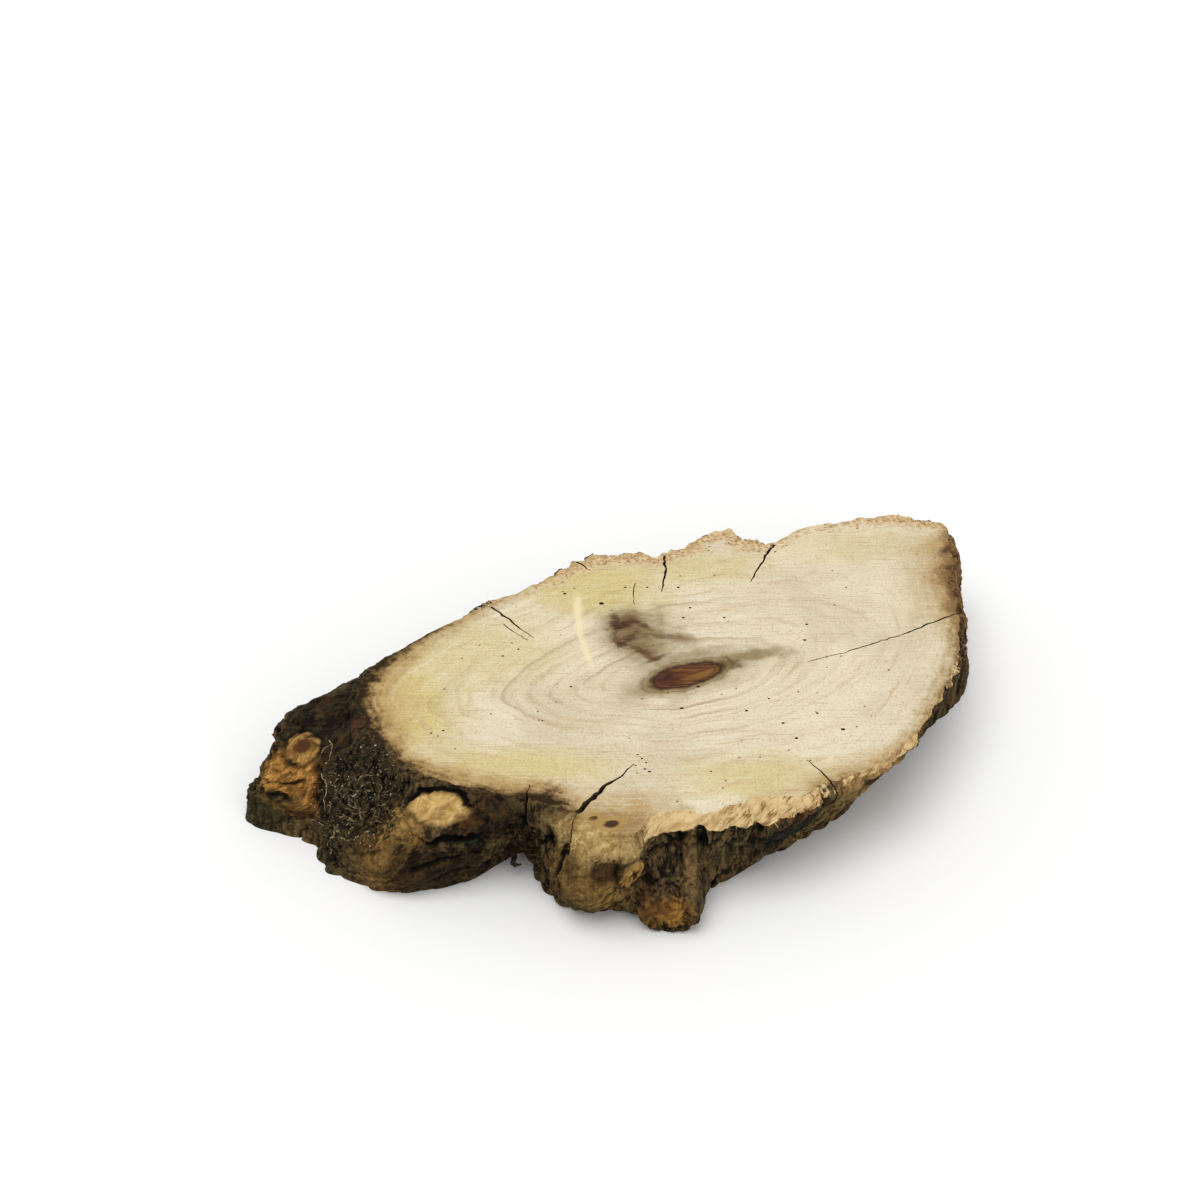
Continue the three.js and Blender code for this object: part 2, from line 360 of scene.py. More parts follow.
def stubMesh():
    s = stubShape
    root, along = np.array(s["root"]), np.array(s["end"]) - np.array(s["root"])
    length = np.linalg.norm(along)
    turned = np.array(Vector((0, 0, 1)).rotation_difference(Vector(along)).to_matrix()).T
    angle = np.arange(s["sides"]) / s["sides"] * 2 * math.pi
    ring = np.c_[np.cos(angle), np.sin(angle)]
    levels = []
    for row in range(s["rows"] + 1):
        part = row / s["rows"]
        radius = s["rootRadius"] + (s["endRadius"] - s["rootRadius"]) * part
        radius -= s["worn"] * max(0.0, (part - s["wornFrom"]) / (1 - s["wornFrom"])) ** 2
        flat = ring * radius
        flat = flat * (1 + ripples(flat, [(s["unevenSize"], part * 3, s["uneven"])]))
        levels.append(np.c_[flat, np.full(len(flat), length * part)])
    endHeight = length - s["endSunk"]
    for step in range(1, s["endRings"]):
        flat = levels[s["rows"]][:, :2] * (1 - step / s["endRings"])
        levels.append(np.c_[flat, endHeight + ripples(flat, [(s["endGrain"], 0.0, s["endRough"])])])
    levels = [level @ turned + root for level in levels]
    for level in levels:
        level[:, 2] = np.maximum(level[:, 2], s["floorGap"])
    high = np.array((0, 0, endHeight)) @ turned + root
    return closedMesh("stub", levels, [barkSlot] * len(levels), root, high)[0]


cracks = [  # path from the tip outward, width at the end, depth
    ([(-15, -35), (-18.5, -40), (-22, -43.5), (-26, -49), (-29, -53.5)], 1.8, 16),
    ([(-29, -53.6), (-31, -58), (-34, -66)], 1.3, 9),
    ([(31, 6.5), (43, 11.5), (56.5, 18), (69.5, 26), (86, 34)], 0.7, 10),
    ([(-6.5, 38), (-5.5, 46), (-5.3, 55.2)], 1.1, 14),
    ([(18, 42.5), (21.5, 52), (25.5, 61)], 1.1, 14),
    ([(-41, 17), (-46, 22.5), (-51, 29), (-53, 31)], 0.8, 12),
    ([(-42.5, 16), (-46.8, 20), (-49.5, 23)], 0.35, 6),
    ([(28, -33.5), (31.5, -38.5), (35, -44), (41, -57)], 1.0, 12),
    ([(-26, 48), (-28, 50.5), (-30, 53)], 0.8, 7),
    ([(-14, 32), (-14.3, 37), (-14, 42)], 0.35, 3),
    ([(-40.6, -43), (-41.2, -46), (-42, -58)], 1.4, 9),
]
borerHoles = [  # x, y, radius
    (-33, 37, 0.5), (-23, 32.5, 0.75), (-16.5, 40, 0.4), (-10.5, 40, 0.4), (-2, 40, 0.45),
    (1, 30.5, 0.45), (-1, 26, 0.45), (32, 23, 0.45), (10, 26, 0.42), (31, 16, 0.5), (2, -4, 0.55),
    (-2.5, -13, 0.55), (14, -14, 0.45), (-31, -4, 0.4), (38, -21.5, 0.6), (26, -25, 0.5),
    (23, -19, 0.45), (32, -15, 0.4), (-45, 12, 0.4), (-49, 9, 0.4), (-13, -33, 0.35),
    (-12, -34.6, 0.33), (-14.6, -35.6, 0.3), (-12.3, -37, 0.4), (-11.2, -38, 0.42), (-14, -31.5, 0.3),
    (4, -38, 0.3), (20, -9, 0.35), (-38, -18, 0.3), (-66, -23, 0.35), (-63, -22, 0.4), (-16, -25, 0.25),
    (44, 40, 0.3), (52, 3, 0.35),
]
crackShape = {
    "tip": 0.25, "step": 1.4, "rootShare": 0.45, "clear": 2.0,
    "stray": 0.4, "strayLengths": (1.3, 2.1), "strayStart": 6, "uneven": 0.35, "unevenLength": 0.9,
    "holeDepth": 3.0, "holeSides": 9, "holeFlat": 0.8,
}


def runOf(path):  # way along a path at each of its points
    return np.r_[0, np.cumsum(np.linalg.norm(np.diff(path, axis=0), axis=1))]


def pathAt(path, run, at):
    return np.c_[tuple(np.interp(at, run, axis) for axis in path.T)]


def crackCutter(path, width, depth):  # a crooked wedge from the tip outward
    s = crackShape
    path = np.array(path, float)
    run = runOf(path)
    at = np.linspace(0, run[-1], int(run[-1] / s["step"]) + 2)
    line = pathAt(path, run, at)
    ahead = np.gradient(line, axis=0)
    ahead /= np.linalg.norm(ahead, axis=1, keepdims=True)
    across = np.c_[-ahead[:, 1], ahead[:, 0]]
    part = at / run[-1]
    stray = s["stray"] * ripple(*(at / length for length in s["strayLengths"]), width)
    line += across * (stray * np.minimum(1, s["strayStart"] * part))[:, None]
    half = (s["tip"] + (width - s["tip"]) * part) / 2
    half = half * (1 + s["uneven"] * ripple(at / s["unevenLength"], width * 3, depth))
    points, count = [], len(line)
    for level, narrow in ((thickness - depth, s["rootShare"]), (thickness + s["clear"], 1.0)):
        for side in (-1, 1):
            wall = line + across * (side * half * narrow)[:, None]
            points += np.c_[wall, np.full(count, level)].tolist()
    lowRight, lowLeft, topRight, topLeft = (count * corner for corner in range(4))
    faces, last = [], count - 1
    for i in range(last):
        for a, b in ((lowLeft, lowRight), (lowRight, topRight), (topRight, topLeft), (topLeft, lowLeft)):
            faces.append((a + i + 1, b + i + 1, b + i, a + i))
    faces.append((topRight, topLeft, lowLeft, lowRight))
    faces.append((topLeft + last, topRight + last, lowRight + last, lowLeft + last))
    return points, faces


def borerCutter(x, y, radius):
    s = crackShape
    sides, points = s["holeSides"], []
    for level in (thickness - s["holeDepth"], thickness + s["clear"]):
        for side in range(sides):
            angle = side / sides * 2 * math.pi
            across, along = radius * math.cos(angle), radius * s["holeFlat"] * math.sin(angle)
            points.append((x + across, y + along, level))
    faces = [tuple(reversed(range(sides))), tuple(range(sides, 2 * sides))]
    for side in range(sides):
        after = (side + 1) % sides
        faces.append((side, after, sides + after, sides + side))
    return points, faces


def crackMesh():
    points, faces = [], []
    cutters = [crackCutter(*crack) for crack in cracks] + [borerCutter(*hole) for hole in borerHoles]
    for corners, sides in cutters:
        faces += [tuple(len(points) + corner for corner in side) for side in sides]
        points += corners
    mesh = bpy.data.meshes.new("cracks")
    mesh.from_pydata(((np.array(points) + heart) * mm).tolist(), [], faces)
    mesh.polygons.foreach_set("material_index", [crackSlot] * len(faces))
    return mesh


def joined(piece, tool, operation):
    step = piece.modifiers.new(operation, "BOOLEAN")
    step.operation, step.solver, step.object = operation, "MANIFOLD", tool
    step.material_mode = "INDEX"
    settle(piece)
    bpy.data.objects.remove(tool)


# finishes

def addSockets(group, way, kind, *names):
    for name in names:
        group.interface.new_socket(name, in_out=way, socket_type="NodeSocket" + kind)


def softSpotGroup():  # how far a place lies from an oval, and a soft mask of it with a ragged edge
    group = bpy.data.node_groups.new("softSpot", "ShaderNodeTree")
    addSockets(group, "INPUT", "Vector", "Place", "Centre", "Size")
    addSockets(group, "INPUT", "Float", "Turn", "Softness", "Ragged", "Wander")
    addSockets(group, "OUTPUT", "Float", "Mask", "Away")
    given = addNode(group, "NodeGroupInput").outputs
    offset = vectorCalc(group, "SUBTRACT", given["Place"], given["Centre"])
    turned = rotated(group, offset, given["Turn"], "Z")
    away = vectorCalc(group, "LENGTH", vectorCalc(group, "DIVIDE", turned, given["Size"]))
    away = calc(group, "ADD", away, sway(group, given["Wander"], given["Ragged"]))
    low, high = (calc(group, operation, 1.0, given["Softness"]) for operation in ("SUBTRACT", "ADD"))
    addNode(group, "NodeGroupOutput", {"Mask": spread(group, away, low, high, 1.0, 0.0), "Away": away})
    return group


softSpot = softSpotGroup()


def spot(tree, where, wander, centre, size, turn=0.0, softness=0.3, ragged=0.6, output="Mask"):
    inputs = {"Place": where, "Wander": wander, "Centre": centre, "Size": size, "Turn": math.radians(-turn),
              "Softness": softness, "Ragged": ragged}
    return addNode(tree, "ShaderNodeGroup", inputs, node_tree=softSpot).outputs[output]


def gritGroup():  # fine fibres along the grain, crumbs, and both together as a height
    group = bpy.data.node_groups.new("woodGrit", "ShaderNodeTree")
    addSockets(group, "INPUT", "Vector", "Place", "Stretch")
    addSockets(group, "OUTPUT", "Float", "Fibre", "Crumb", "Height")
    given = addNode(group, "NodeGroupInput").outputs
    grain = vectorCalc(group, "MULTIPLY", given["Place"], given["Stretch"])
    fibre = noiseAt(group, grain, 1.0, 5.0, 0.65, 0.4)
    crumb = noiseAt(group, given["Place"], 0.9, 5.0, 0.7)
    height = calc(group, "ADD", share(group, fibre, 0.6), share(group, crumb, 0.5))
    addNode(group, "NodeGroupOutput", {"Fibre": fibre, "Crumb": crumb, "Height": height})
    return group


woodGrit = gritGroup()


def grit(tree, where, stretch):
    return addNode(tree, "ShaderNodeGroup", {"Place": where, "Stretch": stretch}, node_tree=woodGrit).outputs


def bumped(tree, shader, height, strength, distance):
    bump = addNode(tree, "ShaderNodeBump", {"Height": height, "Strength": strength, "Distance": distance})
    tree.links.new(bump.outputs[0], shader.inputs["Normal"])


throughSlice = 99  # mm, deeper than the slice
sawnFinish = {
    "roughness": 0.85, "gloss": 0.1, "bump": 0.35, "bumpHeight": 0.5 * mm,
    "cream": tone(227, 215, 185), "grey": tone(210, 197, 166), "yellow": tone(209, 191, 126),
    "amber": tone(178, 143, 80), "ringLine": tone(150, 122, 86), "band": tone(200, 173, 138),
    "shine": tone(232, 223, 200), "speck": tone(92, 72, 48),
    "knotLight": tone(124, 80, 44), "knotDark": tone(76, 45, 31), "knotRim": tone(56, 35, 30),
    "knotGold": tone(136, 98, 48),
    "olive": tone(128, 108, 66), "stain": tone(104, 75, 46), "stainDeep": tone(60, 39, 30),
    "gouge": tone(235, 220, 177), "chip": tone(220, 196, 153), "chipDark": tone(164, 128, 86),
    "bark": tone(46, 35, 18), "tan": tone(166, 136, 84), "brown": tone(118, 87, 50),
    "ringLean": 16.0, "ringLength": 1.92, "ringMiddle": (-2.0, 1.0, 0.0), "ringDrift": (3.5, 5.0, 0.0),
    "ringOuter": 48.0,  # reach of the last ring, along the bark
    "rings": (  # reach, darkness
        (6.2, 0.3), (14.2, 0.55), (16.0, 0.15), (18.8, 0.35), (22.4, 0.2), (26.6, 0.45), (34.0, 0.2)),
    "yellows": (  # soft ovals: middle, size, turn, share
        ((-24, 40), (18, 13), 0, 0.9), ((5, 49), (16, 7), 0, 0.6), ((14, -40), (18, 8), 0, 0.7),
        ((-46, -36), (26, 7), 0, 0.8), ((-74, -12), (14, 20), 0, 1.0), ((-55, 10), (18, 14), 0, 0.6),
        ((46, 60), (22, 8), 0, 0.35)),
    "ambers": (
        ((-23, -57), (15, 9), 20, 0.9), ((-79, -11), (8, 17), 8, 0.5),
        ((-56, -40.5), (24, 4), -14, 0.55), ((38, -37), (16, 3.5), 32, 0.5),
        ((71, 45), (11, 22), -4, 0.5), ((-22, -60), (13, 6), 15, 0.6), ((71, 61), (6, 2.2), 36, 0.65)),
    "gouges": (
        ((-29.4, 29.5), (1.1, 6.0), 2, 0.9), ((-28.8, 21), (0.8, 5.5), 6, 0.9),
        ((-27.2, 11.5), (0.75, 7.0), 13, 0.9)),
    "halos": (
        ((1, 2.0), (15, 8.0), 24, 0.7), ((17.3, 9.6), (8.5, 2.0), 14, 0.7),
        ((-13, 17.5), (9.5, 12), 26, 0.8), ((-4.5, 17.7), (7, 2.0), -15, 0.6),
        ((-9, -5), (7, 3.5), 20, 0.5), ((1.5, 10.1), (6, 2.0), 15, 0.5)),
    "blots": (  # soft brown cloud of the stain
        ((-16.4, 25.2), (4.4, 3.4), 15, 0.8), ((-15.6, 19), (4.4, 5.2), 20, 0.55),
        ((-11.4, 10.5), (4.4, 2.0), -38, 0.6), ((-26, -58), (8, 5), 25, 0.45),
        ((-17, -58.5), (5, 3.5), 50, 0.4)),
    "strokes": (  # its dark veins
        ((-19.4, 24.3), (4.2, 1.3), -84, 0.75), ((-18, 22), (2.8, 1.5), 23, 0.85),
        ((-15.2, 23.4), (3.0, 1.3), 25, 0.8), ((-12.3, 22.6), (3.2, 1.1), -40, 0.75),
        ((-18.6, 15.6), (3.2, 1.3), -59, 0.9), ((-15.8, 16.5), (4.0, 1.3), 54, 0.8),
        ((-13.2, 11.6), (3.4, 1.0), -37, 0.8), ((-10.3, 8.6), (2.8, 1.1), -55, 0.85),
        ((-8.6, 7.8), (3.3, 0.8), 36, 0.85), ((-6.6, 17.4), (4.8, 1.0), -7, 0.5),
        ((9.6, 5.0), (4.6, 2.2), 22, 0.75)),
    "rimFolds": (  # dark folds of bark at the right rim
        ((74.4, 58.4), (3.6, 1.5), 40, 0.8), ((74, 49), (3.2, 1.5), 12, 0.8),
        ((73.2, 40), (8, 1.3), 86, 0.6)),
    "knotMiddle": (-0.8, 0.9, 0), "knotSize": (9.8, 4.5, throughSlice), "knotTurn": 25,
    "knotHollow": (((-6, -0.8), (3.4, 2.4), 25, 0.8),), "knotPit": (((-5.8, 0.1), (1.4, 0.7), 40, 0.9),),
    "knotGlow": (((4, 1.6), (5, 1.6), 25, 0.75),), "knotSlit": (((2.5, 2.4), (3.6, 0.4), 28, 0.6),),
    "smallKnots": (  # middle, size, turn
        ((-20.7, -57.4), (1.9, 1.3), 15), ((-25, -55.4), (1.2, 0.8), 20)),
}


def patches(tree, colour, paint, rows, softness, raggedness, where, edges):  # soft ovals of paint
    for centre, size, turn, amount in rows:
        mask = spot(tree, where, edges, (*centre, 0), (*size, throughSlice), turn, softness, raggedness)
        colour = blend(tree, share(tree, mask, amount), colour, paint)
    return colour


def sawnPlaces(tree):  # places and noises that the sawn face is drawn with
    here = heartPlace(tree)
    flat = vectorCalc(tree, "MULTIPLY", here, (1.0, 1.0, 0.12))
    wander = noiseAt(tree, flat, 0.16, 4.0, 0.6)
    wanderColour = wander.node.outputs[1]
    return SimpleNamespace(
        flat=flat, sides=axesOf(tree, flat), edge=readMark(tree, "edge"), wander=wander,
        bent=vectorCalc(tree, "ADD", flat, vectorSway(tree, wanderColour, 5.0)),
        frayed=vectorCalc(tree, "ADD", flat, vectorSway(tree, wanderColour, 2.0)),
        broad=noiseAt(tree, flat, 0.04, 3.0), ragged=noiseAt(tree, flat, 0.55, 4.0, 0.65),
        fine=noiseAt(tree, flat, 2.4, 3.0, 0.7), fibres=grit(tree, flat, (0.5, 0.9, 1.0)),
        saw=noiseAt(tree, stretched(tree, here, (0.06, 1.9, 0.2), -47), 1.0, 4.0, 0.7))


def streaks(tree, at, value, spacing, length, detail, roughness):  # noise along lines of equal value
    sides = (share(tree, side, length) for side in at.sides[:2])
    return noiseAt(tree, combined(tree, share(tree, value, spacing), *sides), 1.0, detail, roughness)


def ringReach(tree, at):  # ovals round the heart, pointed to the left, that follow the bark further out
    f = sawnFinish
    reach = vectorCalc(tree, "LENGTH", vectorCalc(tree, "MULTIPLY", at.flat, (1.0, 1.9, 0.0)))
    drift = scaled(tree, f["ringDrift"], spread(tree, reach, 20.0, 70.0))
    middle = vectorCalc(tree, "ADD", f["ringMiddle"], drift)
    lean = stretched(tree, vectorCalc(tree, "SUBTRACT", at.flat, middle), (1, 1, 1), -f["ringLean"])
    axes = axesOf(tree, lean)
    along = calc(tree, "DIVIDE", calc(tree, "ABSOLUTE", axes[0]), f["ringLength"])
    across = calc(tree, "ABSOLUTE", axes[1])
    power = spread(tree, axes[0], -30.0, 10.0, 1.55, 2.1)
    oval = calc(tree, "ADD", calc(tree, "POWER", along, power), calc(tree, "POWER", across, power))
    oval = calc(tree, "POWER", oval, calc(tree, "DIVIDE", 1.0, power))
    outer = calc(tree, "SUBTRACT", f["ringOuter"], at.edge)
    ring = mixed(tree, spread(tree, at.edge, 30.0, 5.0), oval, outer)
    ring = calc(tree, "ADD", ring, sway(tree, at.broad, 6.0))
    return calc(tree, "ADD", ring, sway(tree, at.wander, 0.5))


def drawRings(tree, at, colour):
    f = sawnFinish
    ring = ringReach(tree, at)
    grain = streaks(tree, at, ring, 0.8, 0.05, 6.0, 0.62)
    colour = blend(tree, spread(tree, grain, 0.5, 0.72, 0.0, 0.68), colour, f["band"])
    colour = blend(tree, spread(tree, grain, 0.5, 0.28, 0.0, 0.3), colour, f["shine"])
    fade = spread(tree, noiseAt(tree, at.flat, 0.05, 2.0), 0.36, 0.58, 0.12, 0.95)
    fade = calc(tree, "MULTIPLY", fade, spread(tree, at.sides[0], 0.0, 24.0, 1.0, 0.4))
    lines = 0.0
    for reach, amount in f["rings"]:  # each ring darkens slowly and ends sharply
        past = calc(tree, "SUBTRACT", ring, reach)
        rise = spread(tree, past, -1.7, 0.0, 0.0, amount)
        line = calc(tree, "MINIMUM", rise, spread(tree, past, 0.25, 0.0, 0.0, amount))
        lines = calc(tree, "MAXIMUM", lines, line)
    return blend(tree, calc(tree, "MULTIPLY", lines, fade), colour, f["ringLine"])


def drawSawMarks(tree, at, colour):  # saw marks aslant over the rings, fine grit, rare dark specks
    f = sawnFinish
    colour = blend(tree, spread(tree, at.saw, 0.54, 0.7, 0.0, 0.5), colour, f["shine"])
    colour = blend(tree, spread(tree, at.saw, 0.46, 0.3, 0.0, 0.42), colour, f["ringLine"])
    colour = blend(tree, spread(tree, at.fibres["Crumb"], 0.44, 0.3, 0.0, 0.4), colour, f["ringLine"])
    colour = blend(tree, spread(tree, at.fine, 0.5, 0.28, 0.0, 0.5), colour, f["ringLine"])
    colour = blend(tree, spread(tree, at.fine, 0.5, 0.74, 0.0, 0.42), colour, f["shine"])
    dots = addNode(tree, "ShaderNodeTexVoronoi", {"Vector": at.flat, "Scale": 0.24}).outputs
    chance = addNode(tree, "ShaderNodeSeparateColor", {0: dots["Color"]}).outputs[0]
    rare = calc(tree, "GREATER_THAN", chance, 0.55)
    speck = calc(tree, "MULTIPLY", spread(tree, dots["Distance"], 0.1, 0.06), rare)
    return blend(tree, share(tree, speck, 0.75), colour, f["speck"])


def drawStain(tree, at, colour):  # pale gouge, grey-green halo, dark smoky stain
    f = sawnFinish
    colour = patches(tree, colour, f["gouge"], f["gouges"], 0.35, 5.0, at.flat, at.fine)
    colour = patches(tree, colour, f["olive"], f["halos"], 0.65, 1.1, at.bent, at.wander)
    smoke = noiseAt(tree, stretched(tree, at.flat, (0.18, 0.6, 0.1), 35), 1.0, 5.0, 0.7)
    soot = blend(tree, spread(tree, smoke, 0.4, 0.62), f["stainDeep"], f["stain"])
    colour = patches(tree, colour, f["stain"], f["blots"], 0.7, 1.8, at.bent, smoke)
    return patches(tree, colour, soot, f["strokes"], 0.6, 2.8, at.frayed, at.ragged)


def drawKnots(tree, at, colour):  # the heart knot with its dark outlines, two small knots on the front lobe
    f = sawnFinish
    knot = spot(tree, at.flat, at.wander, f["knotMiddle"], f["knotSize"], f["knotTurn"], 0.1, 0.7, "Away")
    streak = noiseAt(tree, stretched(tree, at.flat, (0.14, 1.2, 0.05), -25), 1.0, 5.0, 0.7, 0.8)
    core = blend(tree, spread(tree, streak, 0.42, 0.6), f["knotDark"], f["knotLight"])
    core = patches(tree, core, f["knotDark"], f["knotHollow"], 0.6, 0.8, at.flat, at.ragged)
    core = patches(tree, core, f["stainDeep"], f["knotPit"], 0.4, 0.9, at.flat, at.ragged)
    core = patches(tree, core, f["knotGold"], f["knotGlow"], 0.6, 1.4, at.flat, streak)
    core = patches(tree, core, f["knotRim"], f["knotSlit"], 0.6, 1.2, at.flat, at.ragged)
    inner, outer = (calc(tree, "ABSOLUTE", calc(tree, "SUBTRACT", knot, line)) for line in (0.78, 1.32))
    core = blend(tree, spread(tree, inner, 0.07, 0.0, 0.0, 0.55), core, f["knotRim"])
    core = blend(tree, spread(tree, knot, 0.8, 0.98, 0.0, 0.95), core, f["knotRim"])
    colour = blend(tree, spread(tree, knot, 1.55, 1.05, 0.0, 0.75), colour, f["olive"])
    colour = blend(tree, spread(tree, outer, 0.06, 0.0, 0.0, 0.5), colour, f["stain"])
    colour = blend(tree, spread(tree, knot, 1.2, 0.92), colour, core)
    for centre, size, turn in f["smallKnots"]:
        halo, pit = (centre, [1.8 * width for width in size], turn, 0.7), (centre, size, turn, 0.95)
        colour = patches(tree, colour, f["amber"], [halo], 0.5, 0.8, at.flat, at.ragged)
        colour = patches(tree, colour, f["stainDeep"], [pit], 0.3, 0.7, at.flat, at.ragged)
    return colour


def drawRim(tree, at, colour):  # crumbled edge, the bark's stain that creeps in, folds at the right
    f = sawnFinish
    crumb = calc(tree, "ADD", readMark(tree, "crumble"), sway(tree, at.ragged, 1.8))
    chip = blend(tree, spread(tree, at.fibres["Crumb"], 0.6, 0.36), f["chip"], f["chipDark"])
    colour = blend(tree, spread(tree, crumb, 0.3, 0.6), colour, chip)
    soil = share(tree, noiseAt(tree, at.flat, 0.22, 6.0, 0.75), 0.7)
    soil = calc(tree, "ADD", soil, share(tree, at.fibres["Crumb"], 0.3))
    drawn = streaks(tree, at, at.edge, 0.6, 0.08, 4.0, 0.6)
    creep = calc(tree, "ADD", readMark(tree, "stain"), sway(tree, soil, 15.0))
    creep = calc(tree, "ADD", creep, sway(tree, drawn, 6.0))
    colour = blend(tree, spread(tree, creep, 7.0, 0.5, 0.0, 0.8), colour, f["tan"])
    colour = blend(tree, spread(tree, creep, 3.0, -1.0, 0.0, 0.75), colour, f["brown"])
    sooty = calc(tree, "MULTIPLY", spread(tree, creep, 1.4, -2.4), spread(tree, at.sides[0], 40.0, 10.0))
    colour = blend(tree, sooty, colour, f["bark"])
    return patches(tree, colour, f["knotDark"], f["rimFolds"], 0.8, 1.6, at.frayed, at.ragged)


def sawnMaterial():
    f = sawnFinish
    material, tree, shader = newMaterial("sawnWood", f)
    at = sawnPlaces(tree)
    colour = blend(tree, spread(tree, at.broad, 0.32, 0.62), f["grey"], f["cream"])
    colour = patches(tree, colour, f["yellow"], f["yellows"], 0.6, 1.2, at.flat, at.wander)
    colour = patches(tree, colour, f["amber"], f["ambers"], 0.7, 1.0, at.bent, at.wander)
    for draw in (drawRings, drawSawMarks, drawStain, drawKnots, drawRim):
        colour = draw(tree, at, colour)
    tree.links.new(colour, shader.inputs["Base Color"])
    height = calc(tree, "ADD", share(tree, at.saw, 0.6), share(tree, at.fine, 0.5))
    bumped(tree, shader, height, f["bump"], f["bumpHeight"])
    return material


barkFinish = {
    "roughness": 0.82, "gloss": 0.07, "bump": 0.7, "smoothBump": 0.2, "bumpHeight": 0.9 * mm,
    # deep is painted shade for the floors of the creases and the hollows of the relief
    "light": tone(104, 84, 52), "dark": tone(22, 18, 10), "deep": tone(8, 6, 4),
    "rust": tone(92, 54, 30), "lichen": tone(62, 64, 42),
    # the bare wood's two darker tones serve both for its own streaks and specks and for painted shade
    # between its fibres and in its hollows
    "bare": tone(216, 189, 140), "bareDarkAndShade": tone(180, 144, 92), "bareSpeckAndShade": tone(128, 95, 54),
    "eye": tone(178, 138, 76), "eyeDark": tone(122, 88, 44), "eyeCore": tone(78, 48, 29),
}
barkZones = [  # middle, size, light, dark, share, grown smooth, softness
    ((-92, -13, 24), (16, 15, 8), tone(60, 49, 30), tone(16, 13, 8), 0.95, 0.3, 0.4),
    ((-84, -33, 18), (18, 14, 16), tone(64, 53, 34), tone(10, 8, 5), 0.95, 0.4, 0.35),
    ((-78, -47, 11), (13, 9, 11), tone(148, 114, 60), tone(50, 36, 18), 0.95, 0.9, 0.5),
    ((-86, -44, 8), (6, 6, 8), tone(98, 77, 43), tone(32, 25, 14), 0.8, 0.7, 0.6),
    ((-63, -52, 8), (14, 8, 9), tone(62, 46, 25), tone(11, 8, 4), 0.95, 0.8, 0.5),
    ((-50, -49, 24), (10, 7, 8), tone(72, 53, 30), tone(16, 12, 7), 0.95, 0.4, 0.3),
    ((-112, -23, 4), (9, 9, 7), tone(78, 67, 40), tone(18, 16, 9), 0.9, 0.4, 0.3),
    ((-103, -22, 15), (9, 8, 8), tone(190, 141, 70), tone(94, 61, 27), 1.0, 1.0, 0.3),
    ((-99.5, -27.5, 11), (5.5, 4, 5), tone(164, 118, 58), tone(72, 45, 20), 1.0, 1.0, 0.3),
    ((-106.5, -24.5, 10.6), (5, 4, 1.6), tone(78, 66, 40), tone(18, 16, 10), 0.9, 0.7, 0.4),
    ((-70.5, -47, 20.6), (7, 5, 3.6), tone(178, 142, 80), tone(92, 68, 34), 0.9, 1.0, 0.45),
    ((-63, -47, 26), (7.8, 5, 3.4), tone(208, 177, 115), tone(160, 126, 70), 1.0, 1.0, 0.2),
    ((-28, -62, 16), (12, 9, 13), tone(152, 119, 64), tone(80, 60, 30), 0.95, 0.8, 0.5),
    ((-24, -60, 27.5), (11, 8, 5.5), tone(218, 192, 130), tone(146, 115, 64), 0.95, 0.8, 0.8),
    ((-22, -66, 22), (4.5, 3.5, 4.0), tone(66, 45, 22), tone(28, 18, 9), 0.95, 0.7, 0.5),
    ((-31.5, -62, 20), (3, 4, 4), tone(96, 72, 38), tone(36, 26, 14), 0.8, 0.7, 0.5),
    ((-32, -60, 7), (9, 8, 5), tone(90, 68, 36), tone(26, 19, 10), 0.8, 0.6, 0.5),
    ((-1.2, -57, 17), (2.2, 10, 9), tone(132, 106, 68), tone(66, 50, 29), 0.85, 0.3, 0.6),
    ((-7.4, -66.4, 6.5), (7.4, 2.4, 7.2), tone(174, 126, 56), tone(72, 47, 18), 0.95, 0.6, 0.3),
    ((-13.7, -64.5, 3.5), (4, 4, 4.5), tone(134, 98, 46), tone(50, 35, 16), 0.85, 0.6, 0.4),
    ((36, -33, 11), (15, 13, 13), tone(146, 121, 70), tone(50, 40, 21), 0.85, 0.3, 0.4),
    ((-9, -57, 17), (6, 9, 9), tone(112, 90, 62), tone(34, 27, 18), 0.7, 0.3, 0.5),
    ((23.5, -45.5, 16.5), (9, 8, 8), tone(44, 41, 32), tone(12, 12, 9), 0.95, 0.3, 0.5),
    ((43, -36, 28.5), (17, 9, 4), tone(182, 148, 94), tone(114, 88, 52), 0.85, 0.3, 0.4),
    ((52, -22, 16), (12, 16, 16), tone(160, 126, 72), tone(66, 48, 25), 0.8, 0.3, 0.4),
    ((77, 48, 25), (8, 26, 14), tone(162, 122, 74), tone(56, 37, 21), 0.9, 0.3, 0.4),
]
